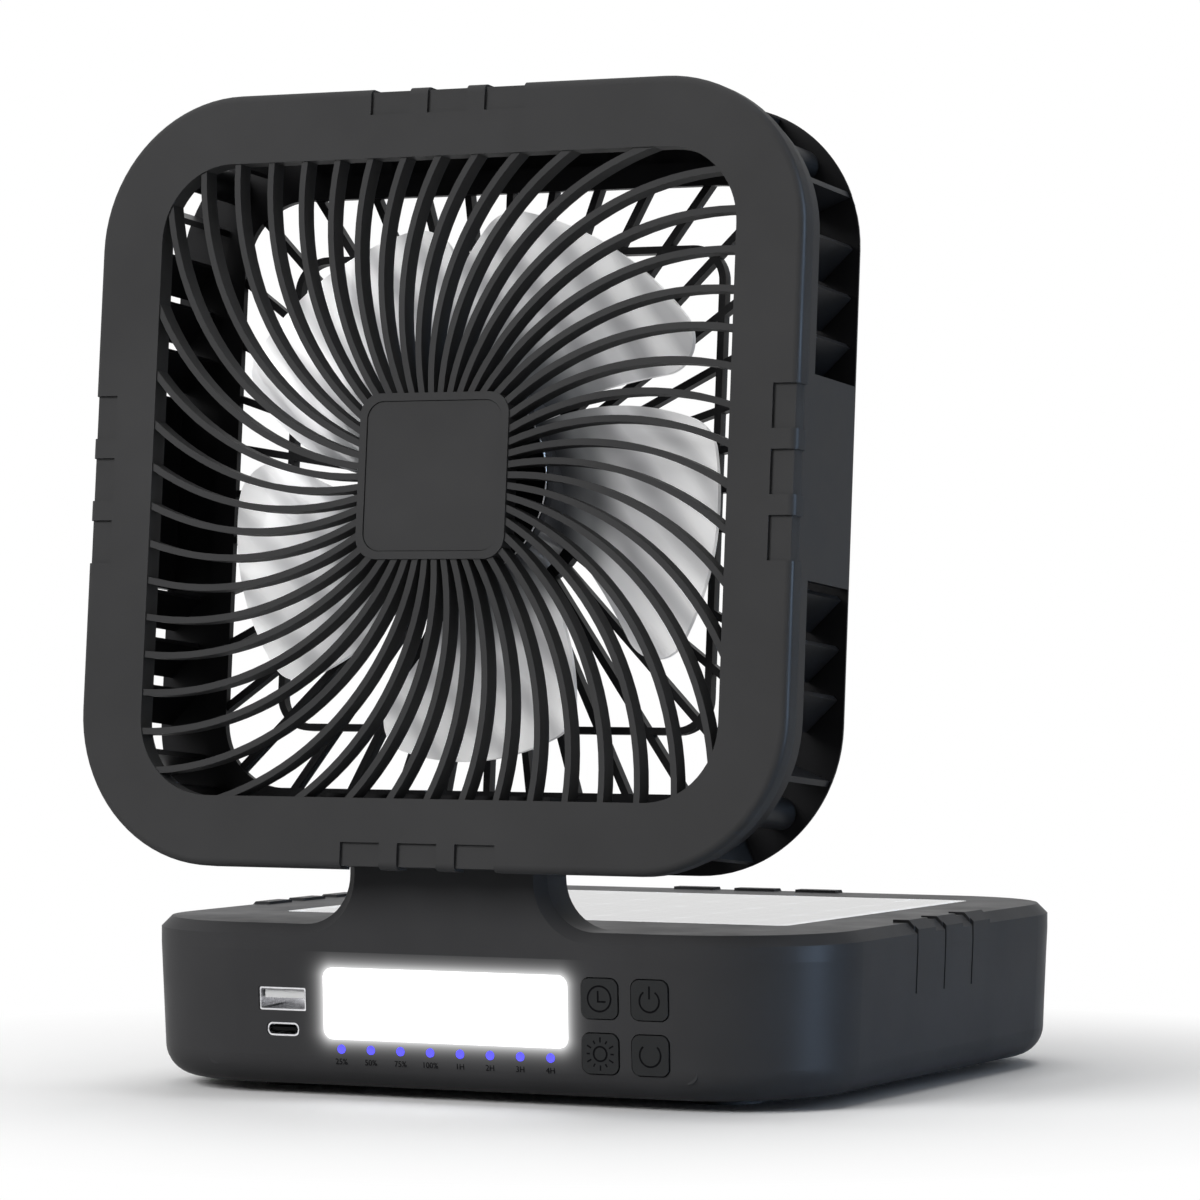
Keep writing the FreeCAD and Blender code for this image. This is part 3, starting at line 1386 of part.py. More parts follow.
# Motor: a wound core on the bearing tube, inside the turning magnet ring
def make_motor():
    magnet_inner = d.rotor_radius - d.rotor_wall - d.magnet_thickness
    core_radius = magnet_inner - d.air_gap
    core = new_body("stator_core")
    sketch = front_sketch(core, d.core_front)
    draw_circle(sketch, 0, 0, d.tube_radius + 4)
    draw_circle(sketch, 0, 0, d.tube_radius + d.pin_clearance)
    grow(core, sketch, d.core_rear - d.core_front, reverse=True)
    sketch = front_sketch(core, d.core_front)
    half = d.tooth_width / 2
    draw_rectangle(sketch, d.tube_radius + 2, core_radius - 0.3, -half, half)
    tooth = grow(core, sketch, d.core_rear - d.core_front, reverse=True)
    pattern = core.newObject("PartDesign::PolarPattern", "tooth_pattern")
    pattern.Originals = [tooth]
    pattern.Axis = (origin_plane(core, "Y_Axis"), [""])
    bind(pattern, "Occurrences", d.tooth_count)
    core.Tip = pattern
    keep(core, place_in_head)

    coils = new_body("stator_coils")
    inner = d.tube_radius + 7
    outer = core_radius - 2
    half = d.coil_width / 2
    front = d.core_front - d.coil_overhang
    rear = d.core_rear + d.coil_overhang
    sketch = front_sketch(coils, front)
    draw_rounded(sketch, inner, outer, half * -0.8, half * 0.8, 0.8)
    coil = grow(coils, sketch, rear - front, reverse=True)
    sketch = side_sketch(coils, inner - 1)
    draw_rectangle(sketch, d.core_front - d.pin_clearance, d.core_rear + d.pin_clearance,
                   -d.tooth_width / 2 - d.pin_clearance, d.tooth_width / 2 + d.pin_clearance)
    slot = cut(coils, sketch, outer - inner + 2, reverse=True)
    pattern = coils.newObject("PartDesign::PolarPattern", "coil_pattern")
    pattern.Originals = [coil, slot]
    pattern.Axis = (origin_plane(coils, "Y_Axis"), [""])
    bind(pattern, "Occurrences", d.tooth_count)
    coils.Tip = pattern
    keep(coils, place_in_head)

    tube_rear = d.shaft_rear + 0.4
    bore = d.shaft_radius + d.shaft_clearance
    make_round("motor_bearings", [
        (d.bearing_radius, bore, d.tube_front, d.tube_front + d.bearing_length),
        (d.bearing_radius, bore, tube_rear - d.bearing_length, tube_rear),
    ], place_in_head)

    board = new_body("motor_board")
    sketch = front_sketch(board, d.motor_board_depth)
    draw_circle(sketch, 0, 0, d.motor_board_radius)
    draw_circle(sketch, 0, 0, d.tube_radius + d.panel_fit)
    for x, z in motor_screw_places():
        draw_circle(sketch, x, z, d.small_screw_radius + d.panel_fit)
    grow(board, sketch, d.motor_board_thickness, reverse=True)
    keep(board, place_in_head)

    screws = new_body("motor_screws")
    for radius, front, length in (
            (d.small_screw_head_radius, d.motor_board_depth - 1.2, as_size(1.2)),
            (d.small_screw_radius, d.motor_board_depth, d.motor_board_thickness + d.motor_screw_grip)):
        sketch = front_sketch(screws, front)
        for x, z in motor_screw_places():
            draw_circle(sketch, x, z, radius)
        grow(screws, sketch, length, reverse=True)
    keep(screws, place_in_head)

    screws = new_body("head_screws")
    seat = d.post_screw_depth
    for radius, front, length in (
            (d.screw_head_radius - d.panel_fit, seat, d.screw_head_height),
            (d.small_screw_radius, d.post_screw_end, seat - d.post_screw_end)):
        sketch = front_sketch(screws, front)
        for x, z in corner_places(d.head_width / 2 - d.post_inset, d.head_height / 2 - d.post_inset):
            draw_circle(sketch, x, z, radius)
        grow(screws, sketch, length, reverse=True)
    keep(screws, place_in_head)

    magnet_outer = d.rotor_radius - d.rotor_wall
    make_round("magnet_ring", [(magnet_outer, magnet_inner, d.magnet_front, d.magnet_rear)], place_in_head)
    make_round("rotor_hub", [
        (d.rotor_radius, d.shaft_radius, d.rotor_front, d.rotor_front + d.rotor_wall),
        (d.rotor_radius, magnet_outer, d.rotor_front + d.rotor_wall / 2, d.rotor_rear),
        (d.rotor_boss_radius, d.shaft_radius, d.rotor_front + d.rotor_wall / 2, d.rotor_boss_rear),
    ], place_in_head)
    make_round("rotor_shaft", [(d.shaft_radius, None, d.rotor_front - 0.6, d.shaft_rear)], place_in_head)


# Hinge pin pressed into the head's lugs, and a washer each side of the knuckle
def make_hinge():
    pin = new_body("hinge_pin")
    sketch = side_sketch(pin, 0)
    draw_circle(sketch, d.axis_depth, axis_z, d.pin_radius)
    half = d.neck_width / 2 + d.slot_clearance + d.slot_wall
    grow(pin, sketch, half * 2, symmetric=True)
    keep(pin, place_in_head)
    washers = new_body("hinge_washers")
    for side in (-1, 1):
        sketch = side_sketch(washers, side * (d.knuckle_width / 2 + d.washer_clearance))
        draw_circle(sketch, d.axis_depth, axis_z, d.washer_radius)
        draw_circle(sketch, d.axis_depth, axis_z, d.pin_radius + d.pin_clearance)
        grow(washers, sketch, d.washer_thickness, reverse=side < 0)
    keep(washers, place_in_head)


# Fan blades: five swept blades of one helical surface, on a ring
def make_fan_blades():
    def polar(radius, angle):
        turn = math.radians(angle)
        return FreeCAD.Vector(radius * math.cos(turn), 0, radius * math.sin(turn))

    tip = d.blade_tip_radius.number
    root = (d.rotor_radius + d.blade_ring / 2).number
    middle = (root + tip) / 2
    half = d.blade_half_angle.number
    sweep = d.blade_sweep.number
    lead = [polar(root, sweep - half), polar(middle, sweep * 0.38 - half), polar(tip, -half)]
    trail = [polar(tip, half), polar(middle, sweep * 0.55 + half), polar(root, sweep + half)]
    outline = Part.Wire([
        Part.Arc(*lead).toShape(),
        Part.Arc(lead[2], polar(tip, 0), trail[0]).toShape(),
        Part.Arc(*trail).toShape(),
        Part.Arc(trail[2], polar(root, sweep), lead[0]).toShape(),
    ])
    low = d.blade_middle.number - d.blade_rise.number
    prism = Part.Face(outline).extrude(FreeCAD.Vector(0, d.blade_rise.number * 2, 0))
    prism.translate(FreeCAD.Vector(0, low, 0))
    tips = [edge for edge in prism.Edges
            if edge.BoundBox.YLength > d.blade_rise.number
            and math.hypot(edge.CenterOfMass.x, edge.CenterOfMass.z) > tip - 0.5]
    prism = prism.makeFillet(d.blade_corner.number, tips)

    # The surface climbs evenly with the angle, so its pitch falls towards the tip.
    rows = []
    for radius in (root - 3, root + (tip - root) / 3, root + (tip - root) * 2 / 3, tip + 3):
        row = []
        for step in range(9):
            angle = -half * 1.3 + step * (sweep + half * 2.6) / 8
            share = (angle - sweep / 2) / (half + sweep / 2)
            point = polar(radius, angle)
            camber = d.blade_camber.number * (1 - share * share)
            point.y = d.blade_middle.number - share * d.blade_rise.number / 2 - camber
            row.append(point)
        rows.append(row)
    surface = Part.BSplineSurface()
    surface.interpolate(rows)
    sheet_face = surface.toShape()
    slab = sheet_face.extrude(FreeCAD.Vector(0, d.blade_thickness.number, 0))
    blade = slab.common(prism)

    ring = Part.makeCylinder(root + d.blade_ring.number / 2,
                             d.blade_ring_rear.number - d.blade_ring_front.number,
                             FreeCAD.Vector(0, d.blade_ring_front.number, 0), FreeCAD.Vector(0, 1, 0))
    bore = Part.makeCylinder(d.rotor_radius.number, d.head_depth.number, FreeCAD.Vector(), FreeCAD.Vector(0, 1, 0))
    count = int(d.blade_count.number)
    blades = []
    for index in range(count):
        turned = blade.copy()
        turned.rotate(FreeCAD.Vector(), FreeCAD.Vector(0, 1, 0), 90 - index * 360 / count)
        blades.append(turned)
    piece = doc.addObject("Part::Feature", "fan_blades")
    piece.Label = "fan_blades"
    piece.Shape = ring.fuse(blades).cut(bore)
    keep(piece, place_in_head)


make_base_lower_shell()
make_base_top_cover()
make_neck_rear_cover()
make_neck_screws()
make_base_fasteners()
make_solar_panel()
make_light()
make_indicator_light_pipe()
make_sockets()
make_buttons()
make_control_board()
make_battery()
make_front_grille()
make_rear_housing()
make_rear_grille()
make_motor()
make_hinge()
make_fan_blades()
doc.recompute()

for thing in doc.Objects:
    if "Invalid" in thing.State or "Error" in thing.State:
        raise RuntimeError("%s could not be built" % thing.Name)
for piece in kept:
    if piece.Shape.isNull() or not piece.Shape.isValid():
        raise RuntimeError("%s has no valid shape" % piece.Label)
for piece in kept:
    piece.Shape.exportStep("parts/%s.step" % piece.Label)
    print(piece.Label, len(piece.Shape.Solids), round(piece.Shape.Volume, 1))
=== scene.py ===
import math

import bmesh
import bpy
from mathutils import Matrix, Vector


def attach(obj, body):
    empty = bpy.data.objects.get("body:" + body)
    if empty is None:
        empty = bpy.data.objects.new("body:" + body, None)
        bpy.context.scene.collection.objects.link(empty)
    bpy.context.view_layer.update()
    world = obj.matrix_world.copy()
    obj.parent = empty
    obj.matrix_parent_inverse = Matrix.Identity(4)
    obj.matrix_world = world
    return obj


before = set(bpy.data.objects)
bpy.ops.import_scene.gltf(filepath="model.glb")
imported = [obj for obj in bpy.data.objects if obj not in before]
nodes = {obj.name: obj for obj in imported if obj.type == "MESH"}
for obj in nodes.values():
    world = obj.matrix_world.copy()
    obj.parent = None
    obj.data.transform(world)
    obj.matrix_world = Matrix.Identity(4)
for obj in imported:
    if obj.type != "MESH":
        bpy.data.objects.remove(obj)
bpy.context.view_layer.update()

MM = 0.001

# Places that the solids were drawn in: the leaning head, and the front panel of the base
HEAD_LEAN = math.radians(5.0)
HEAD_CENTRE = Vector((0.0, -94.378 * MM, 152.416 * MM))
HEAD = Matrix.Translation(HEAD_CENTRE) @ Matrix.Rotation(-HEAD_LEAN, 4, "X")
PANEL_DRAFT = math.radians(2.5)
PANEL_ORIGIN = Vector((0.0, -88.449 * MM, 36.0 * MM))
PANEL = Matrix.Translation(PANEL_ORIGIN) @ Matrix.Rotation(PANEL_DRAFT, 4, "X")

WHITE = (1.0, 1.0, 1.0)

# Sockets of the colour mix node
MIX_FIRST = 6
MIX_SECOND = 7
MIX_RESULT = 2

# The part of a noise's range that most of its values lie in
NOISE_LOW = 0.3
NOISE_HIGH = 0.7


# Shader nodes
def new_material(name):
    """A material, its node tree and its main shader."""
    material = bpy.data.materials.new(name)
    material.use_nodes = True
    tree = material.node_tree
    shader = next(node for node in tree.nodes if node.type == "BSDF_PRINCIPLED")
    return material, tree, shader


def add_node(tree, kind, **values):
    node = tree.nodes.new(kind)
    for name, value in values.items():
        setattr(node, name, value)
    return node


def object_place(tree, matrix=None):
    """Object coordinates, or the coordinates inside a leaning frame."""
    coordinates = add_node(tree, "ShaderNodeTexCoord")
    if matrix is None:
        return coordinates.outputs["Object"]
    mapping = add_node(tree, "ShaderNodeMapping", vector_type="TEXTURE")
    mapping.inputs["Location"].default_value = matrix.to_translation()
    mapping.inputs["Rotation"].default_value = matrix.to_euler()
    tree.links.new(coordinates.outputs["Object"], mapping.inputs["Vector"])
    return mapping.outputs["Vector"]


def split_place(tree, place):
    """The X, Y and Z parts of a place."""
    split = add_node(tree, "ShaderNodeSeparateXYZ")
    tree.links.new(place, split.inputs["Vector"])
    return split.outputs


def noise(tree, place, scale, detail=4.0, roughness=0.6):
    node = add_node(tree, "ShaderNodeTexNoise")
    node.inputs["Scale"].default_value = scale
    node.inputs["Detail"].default_value = detail
    node.inputs["Roughness"].default_value = roughness
    tree.links.new(place, node.inputs["Vector"])
    return node.outputs["Fac"]


def ramp(tree, value, stops, interpolation="LINEAR"):
    """Colours along a value, from stops of position and colour."""
    node = add_node(tree, "ShaderNodeValToRGB")
    node.color_ramp.interpolation = interpolation
    elements = node.color_ramp.elements
    while len(elements) < len(stops):
        elements.new(0.5)
    for element, (position, colour) in zip(elements, stops):
        element.position = position
        element.color = tuple(colour) + (1.0,)
    tree.links.new(value, node.inputs["Fac"])
    return node.outputs["Color"]


def spread(tree, value, low, high, new_low, new_high):
    """The value, with its range low to high stretched over a new range."""
    node = add_node(tree, "ShaderNodeMapRange")
    limits = {"From Min": low, "From Max": high, "To Min": new_low, "To Max": new_high}
    for name, number in limits.items():
        node.inputs[name].default_value = number
    tree.links.new(value, node.inputs["Value"])
    return node.outputs["Result"]


def calculate(tree, operation, first, second=None):
    """What an operation makes of one or two values, each a plain number or the output of a node."""
    node = add_node(tree, "ShaderNodeMath", operation=operation)
    for index, value in enumerate((first, second)):
        if value is None:
            continue
        if isinstance(value, (int, float)):
            node.inputs[index].default_value = value
        else:
            tree.links.new(value, node.inputs[index])
    return node.outputs["Value"]


def length(tree, first, second):
    """The length of a step with two parts at right angles."""
    squares = [calculate(tree, "MULTIPLY", part, part) for part in (first, second)]
    return calculate(tree, "SQRT", calculate(tree, "ADD", *squares))


def bump(tree, shader, height, strength, distance):
    node = add_node(tree, "ShaderNodeBump")
    node.inputs["Strength"].default_value = strength
    node.inputs["Distance"].default_value = distance
    tree.links.new(height, node.inputs["Height"])
    tree.links.new(node.outputs["Normal"], shader.inputs["Normal"])


def shade(colour, factor):
    return tuple(min(1.0, part * factor) for part in colour)


def shaded(tree, value, colour, darkest, lightest):
    """One colour that drifts between two shades of itself with a noise."""
    return ramp(tree, value, [(NOISE_LOW, shade(colour, darkest)), (NOISE_HIGH, shade(colour, lightest))])


def uneven(tree, value, lowest, highest):
    """A number that drifts between two limits with a noise."""
    return spread(tree, value, NOISE_LOW, NOISE_HIGH, lowest, highest)


def seen_or_mirrored(tree):
    """1 for what the camera sees, straight, in a reflection or through glass, and 0 for other light."""
    path = add_node(tree, "ShaderNodeLightPath")
    mirrored = calculate(tree, "MAXIMUM", path.outputs["Is Glossy Ray"], path.outputs["Is Transmission Ray"])
    return calculate(tree, "MAXIMUM", path.outputs["Is Camera Ray"], mirrored)


# Plastics: a fine grain, a slow drift of colour and an uneven gloss
COLOUR_DRIFT_SCALE = 22.0
GLOSS_DRIFT_SCALE = 60.0
GRAIN_SCALE = 2600.0
GRAIN_DEPTH = 0.05 * MM
SMOOTHER_BY = 0.05
ROUGHER_BY = 0.06


def plastic(name, colour, roughness, grain=0.25, specular=0.018, variation=0.08):
    """Moulded plastic."""
    material, tree, shader = new_material(name)
    place = object_place(tree)
    drift = noise(tree, place, COLOUR_DRIFT_SCALE, 3.0)
    tint = shaded(tree, drift, colour, 1 - variation, 1 + variation)
    tree.links.new(tint, shader.inputs["Base Color"])
    fine = noise(tree, place, GRAIN_SCALE, 2.0, 0.5)
    gloss = noise(tree, place, GLOSS_DRIFT_SCALE, 5.0)
    rough = uneven(tree, gloss, roughness - SMOOTHER_BY, roughness + ROUGHER_BY)
    tree.links.new(rough, shader.inputs["Roughness"])
    shader.inputs["Specular IOR Level"].default_value = specular
    bump(tree, shader, fine, grain, GRAIN_DEPTH)
    return material


# Metals: fine drawn or brushed lines
METAL_DARKEST = 0.85
METAL_LIGHTEST = 1.1
METAL_ROUGHNESS_DRIFT = 0.08
LINE_STRENGTH = 0.15
LINE_DEPTH = 0.04 * MM


def metal(name, colour, roughness, stretch=(1.0, 1.0, 1.0), scale=900.0):
    """Metal with its lines packed closest along the axis with the largest stretch."""
    material, tree, shader = new_material(name)
    coordinates = add_node(tree, "ShaderNodeTexCoord")
    mapping = add_node(tree, "ShaderNodeMapping")
    mapping.inputs["Scale"].default_value = stretch
    tree.links.new(coordinates.outputs["Object"], mapping.inputs["Vector"])
    lines = noise(tree, mapping.outputs["Vector"], scale, 4.0)
    tint = shaded(tree, lines, colour, METAL_DARKEST, METAL_LIGHTEST)
    tree.links.new(tint, shader.inputs["Base Color"])
    rough = uneven(tree, lines, roughness - METAL_ROUGHNESS_DRIFT, roughness + METAL_ROUGHNESS_DRIFT)
    tree.links.new(rough, shader.inputs["Roughness"])
    shader.inputs["Metallic"].default_value = 1.0
    bump(tree, shader, lines, LINE_STRENGTH, LINE_DEPTH)
    return material


# Glow of the lit panel, as places in the front panel's own frame
LENS_CENTRE = (0.0, -12.7 * MM)
LENS_HALF = (33.4 * MM, 8.775 * MM)
LENS_CORNER = 2.5 * MM
GLOW_FADE = 1.25 * MM
GLOW_STRENGTH = 0.75
GLOW_DEPTH = 1.0 * MM


def lens_distance(tree, across, up):
    """How far a point of the front panel lies outside the lit panel, in metres."""
    beyond = []
    for value, middle, half in zip((across, up), LENS_CENTRE, LENS_HALF):
        offset = calculate(tree, "ABSOLUTE", calculate(tree, "SUBTRACT", value, middle))
        beyond.append(calculate(tree, "MAXIMUM", calculate(tree, "SUBTRACT", offset, half - LENS_CORNER), 0.0))
    return calculate(tree, "SUBTRACT", length(tree, *beyond), LENS_CORNER)


def add_glow(material):
    """The lit panel's spill of light on the wall round it."""
    tree = material.node_tree
    shader = next(node for node in tree.nodes if node.type == "BSDF_PRINCIPLED")
    parts = split_place(tree, object_place(tree, PANEL))
    far = lens_distance(tree, parts["X"], parts["Z"])
    falloff = calculate(tree, "EXPONENT", calculate(tree, "MULTIPLY", far, -1 / GLOW_FADE))
    on_front = calculate(tree, "LESS_THAN", parts["Y"], GLOW_DEPTH)
    spill = calculate(tree, "MULTIPLY", falloff, on_front)
    tree.links.new(calculate(tree, "MULTIPLY", spill, GLOW_STRENGTH), shader.inputs["Emission Strength"])
    shader.inputs["Emission Color"].default_value = WHITE + (1.0,)


# Solar cells: dark silicon, with thin silver fingers across and busbars along
FINGER_PITCH = 1.9 * MM
FINGER_WIDTH = 0.12 * MM
FINGER_COVER = 0.35
BUSBAR_PITCH = 7.333 * MM
BUSBAR_WIDTH = 0.45 * MM
BUSBAR_COVER = 0.8
CRYSTAL_SCALE = 90.0
CRYSTAL_STOPS = [(0.35, (0.006, 0.007, 0.012)), (0.65, (0.012, 0.014, 0.028))]
SILVER_COLOUR = (0.45, 0.47, 0.5)


def silicon(name):
    material, tree, shader = new_material(name)
    place = object_place(tree)
    parts = split_place(tree, place)

    def lines(axis, pitch, width):
        wave = calculate(tree, "FRACT", calculate(tree, "DIVIDE", parts[axis], pitch))
        away = calculate(tree, "ABSOLUTE", calculate(tree, "SUBTRACT", wave, 0.5))
        return calculate(tree, "LESS_THAN", away, width / pitch / 2)

    fingers = calculate(tree, "MULTIPLY", lines("Y", FINGER_PITCH, FINGER_WIDTH), FINGER_COVER)
    busbars = calculate(tree, "MULTIPLY", lines("X", BUSBAR_PITCH, BUSBAR_WIDTH), BUSBAR_COVER)
    silver = calculate(tree, "MAXIMUM", fingers, busbars)
    crystal = ramp(tree, noise(tree, place, CRYSTAL_SCALE, 2.0), CRYSTAL_STOPS)
    mix = add_node(tree, "ShaderNodeMix", data_type="RGBA")
    tree.links.new(silver, mix.inputs["Factor"])
    tree.links.new(crystal, mix.inputs[MIX_FIRST])
    mix.inputs[MIX_SECOND].default_value = SILVER_COLOUR + (1.0,)
    tree.links.new(mix.outputs[MIX_RESULT], shader.inputs["Base Color"])
    tree.links.new(spread(tree, silver, 0.0, 1.0, 0.25, 0.45), shader.inputs["Roughness"])
    shader.inputs["Specular IOR Level"].default_value = 0.4
    return material


def clear_sheet(name):
    """A glossy clear sheet over the cells."""
    material, tree, shader = new_material(name)
    place = object_place(tree)
    shader.inputs["Base Color"].default_value = (0.9, 0.93, 0.96, 1.0)
    tree.links.new(uneven(tree, noise(tree, place, 40.0, 3.0), 0.01, 0.04), shader.inputs["Roughness"])
    shader.inputs["IOR"].default_value = 1.5
    shader.inputs["Transmission Weight"].default_value = 1.0
    return material


# Blades: silvery and translucent, with soft slanted streaks in their surface; painted shade darkens them by
# the hub, painted light brightens them towards the tips and along the streaks, and a painted glow stands for
# the light that comes through them
BLADE_DARK_RADIUS = 26.0 * MM
BLADE_TIP_RADIUS = 68.0 * MM
# Painted shade by the hub, rising to painted light at the tips
BLADE_SHADE_AND_LIGHT_STOPS = [
    (0.0, (0.03, 0.032, 0.036)),
    (0.2, (0.16, 0.165, 0.17)),
    (0.45, (0.6, 0.6, 0.61)),
    (1.0, (0.85, 0.85, 0.85)),
]
STREAK_SCALE = 38.0
STREAK_DISTORTION = 1.6
STREAK_DRIFT_SCALE = 24.0
STREAK_SHARE = 0.6
# Painted light along the streaks
STREAK_LIGHT_STOPS = [(0.25, (0.6, 0.6, 0.61)), (0.75, (1.1, 1.1, 1.1))]
STREAK_DEPTH = 0.3 * MM
# Painted glow that stands for the light coming through the blades
BLADE_PAINTED_GLOW = 0.38


def blade_streaks(tree, place):
    """Slanted waves and a slow noise, added up."""
    wave = add_node(tree, "ShaderNodeTexWave", wave_type="BANDS", bands_direction="DIAGONAL")
    wave.inputs["Scale"].default_value = STREAK_SCALE
    wave.inputs["Distortion"].default_value = STREAK_DISTORTION
    wave.inputs["Detail"].default_value = 1.0
    tree.links.new(place, wave.inputs["Vector"])
    slow = noise(tree, place, STREAK_DRIFT_SCALE, 2.0)
    shares = [calculate(tree, "MULTIPLY", part, STREAK_SHARE) for part in (wave.outputs["Fac"], slow)]
    return calculate(tree, "ADD", *shares)


def blade_plastic(name):
    material, tree, shader = new_material(name)
    place = object_place(tree, HEAD)
    parts = split_place(tree, place)
    radius = length(tree, parts["X"], parts["Z"])
    outwards = spread(tree, radius, BLADE_DARK_RADIUS, BLADE_TIP_RADIUS, 0.0, 1.0)
    # Painted shade by the hub and painted light towards the tips
    body = ramp(tree, outwards, BLADE_SHADE_AND_LIGHT_STOPS, "EASE")
    streak = blade_streaks(tree, place)
    # The streaks as painted light in the colour
    light = ramp(tree, streak, STREAK_LIGHT_STOPS)
    mix = add_node(tree, "ShaderNodeMix", data_type="RGBA", blend_type="MULTIPLY")
    mix.inputs["Factor"].default_value = 1.0
    tree.links.new(body, mix.inputs[MIX_FIRST])
    tree.links.new(light, mix.inputs[MIX_SECOND])
    tree.links.new(mix.outputs[MIX_RESULT], shader.inputs["Base Color"])
    # The same painted light and shade, also used as a painted glow
    tree.links.new(mix.outputs[MIX_RESULT], shader.inputs["Emission Color"])
    tree.links.new(spread(tree, streak, 0.2, 0.8, 0.42, 0.28), shader.inputs["Roughness"])
    shader.inputs["Emission Strength"].default_value = BLADE_PAINTED_GLOW
    shader.inputs["Specular IOR Level"].default_value = 0.5
    shader.inputs["Coat Weight"].default_value = 0.3
    bump(tree, shader, streak, 0.08, STREAK_DEPTH)
    return material


def lit(name, colour, strength, base=(0.9, 0.9, 0.9)):
    """A lit translucent piece, a little uneven across its face."""
    material, tree, shader = new_material(name)
    soft = noise(tree, object_place(tree), 35.0, 1.0)
    tree.links.new(shaded(tree, soft, base, 0.96, 1.0), shader.inputs["Base Color"])
    shader.inputs["Emission Color"].default_value = colour + (1.0,)
    shader.inputs["Emission Strength"].default_value = strength
    shader.inputs["Roughness"].default_value = 0.4
    return material


# Materials
HEAD_GREY = (0.058, 0.058, 0.059)
BASE_GREY = (0.056, 0.056, 0.058)

head_plastic = plastic("head_plastic", HEAD_GREY, 0.46)
housing_plastic = plastic("housing_plastic", (0.014, 0.014, 0.015), 0.38, specular=0.05)
base_plastic = plastic("base_plastic", BASE_GREY, 0.40)
wall_plastic = plastic("wall_plastic", BASE_GREY, 0.40)
add_glow(wall_plastic)
button_plastic = plastic("button_plastic", (0.038, 0.039, 0.040), 0.5, grain=0.4)
mark_plastic = plastic("mark_plastic", (0.006, 0.006, 0.007), 0.6, grain=0.1)
label_ink = plastic("label_ink", (0.010, 0.010, 0.011), 0.7, grain=0.1)
rubber = plastic("rubber_feet", (0.02, 0.02, 0.02), 0.8, grain=0.6, specular=0.2)
hub_plastic = plastic("hub_plastic", (0.02, 0.021, 0.023), 0.35)
board_green = plastic("board_green", (0.02, 0.13, 0.05), 0.35, grain=0.1, variation=0.2)
black_plastic = plastic("black_plastic", (0.01, 0.01, 0.01), 0.45)
white_plastic = plastic("white_plastic", (0.8, 0.8, 0.8), 0.5, variation=0.03)
tray_plastic = plastic("tray_plastic", (0.03, 0.03, 0.032), 0.55)
wrap_plastic = plastic("wrap_plastic", (0.04, 0.10, 0.30), 0.3, variation=0.1)
phosphor = plastic("phosphor", (0.85, 0.7, 0.25), 0.5, variation=0.1)
ferrite = plastic("ferrite", (0.03, 0.03, 0.032), 0.6, grain=0.5)
screw_steel = metal("screw_steel", (0.24, 0.24, 0.25), 0.36)
pin_steel = metal("pin_steel", (0.55, 0.55, 0.57), 0.25, stretch=(8.0, 1.0, 1.0))
socket_steel = metal("socket_steel", (0.72, 0.72, 0.74), 0.28, stretch=(0.2, 1.0, 1.0))
core_steel = metal("core_steel", (0.2, 0.2, 0.21), 0.45, stretch=(1.0, 20.0, 1.0))
copper = metal("copper", (0.62, 0.26, 0.09), 0.32, stretch=(0.2, 1.0, 1.0), scale=1500.0)
bronze = metal("bronze", (0.55, 0.38, 0.16), 0.4)
# Bright metal for the painted highlight round the hub's edge
hub_highlight_metal = metal("hub_highlight_metal", (0.65, 0.65, 0.66), 0.3)
lens_light = lit("lens_light", WHITE, 1.15)
blue_light = lit("blue_light", (0.09, 0.075, 1.0), 1.1, base=(0.05, 0.05, 0.5))
solar_white = plastic("solar_white", (0.82, 0.83, 0.85), 0.4, variation=0.03)
solar_silicon = silicon("solar_silicon")
solar_clear = clear_sheet("solar_clear")
silver_blades = blade_plastic("silver_blades")

LOOKS = {
    # Base
    "base_lower_shell": wall_plastic,
    "base_top_cover": base_plastic,
    "neck_rear_cover": base_plastic,
    "neck_screws": screw_steel,
    "base_screws": screw_steel,
    "rubber_feet": rubber,
    "control_board": board_green,
    "tact_switches": black_plastic,
    "battery_cells": wrap_plastic,
    "battery_tray": tray_plastic,
    # Solar panel
    "solar_board": solar_white,
    "solar_cells": solar_silicon,
    "solar_glass": solar_clear,
    # Front panel
    "light_lens": lens_light,
    "light_reflector": white_plastic,
    "light_board": board_green,
    "light_chips": phosphor,
    "indicator_light_pipe": blue_light,
    "usb_a_shell": socket_steel,
    "usb_a_tongue": white_plastic,
    "usb_c_shell": socket_steel,
    "usb_c_tongue": black_plastic,
    "timer_button": button_plastic,
    "power_button": button_plastic,
    "light_button": button_plastic,
    "speed_button": button_plastic,
    # Head
    "front_grille": head_plastic,
    "badge_plate": head_plastic,
    "rear_housing": housing_plastic,
    "rear_grille": housing_plastic,
    "head_screws": screw_steel,
    "hinge_pin": pin_steel,
    "hinge_washers": white_plastic,
    # Motor and blades
    "stator_core": core_steel,
    "stator_coils": copper,
    "motor_bearings": bronze,
    "motor_board": board_green,
    "motor_screws": screw_steel,
    "magnet_ring": ferrite,
    "rotor_hub": hub_plastic,
    "rotor_shaft": pin_steel,
    "fan_blades": silver_blades,
}
for name, node in nodes.items():
    node.data.materials.clear()
    node.data.materials.append(LOOKS[name])


# Small pieces that the solids don't have
def link_object(name, data):
    """A new object in the scene."""
    made = bpy.data.objects.new(name, data)
    bpy.context.scene.collection.objects.link(made)
    return made


def piece_from(name, build, material, body, matrix):
    """A piece that a function builds in a leaning frame, riding on a body."""
    mesh = bpy.data.meshes.new(name)
    shape = bmesh.new()
    build(shape)
    bmesh.ops.recalc_face_normals(shape, faces=shape.faces)
    shape.to_mesh(mesh)
    shape.free()
    mesh.transform(matrix)
    mesh.materials.append(material)
    piece = link_object(name, mesh)
    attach(piece, body)


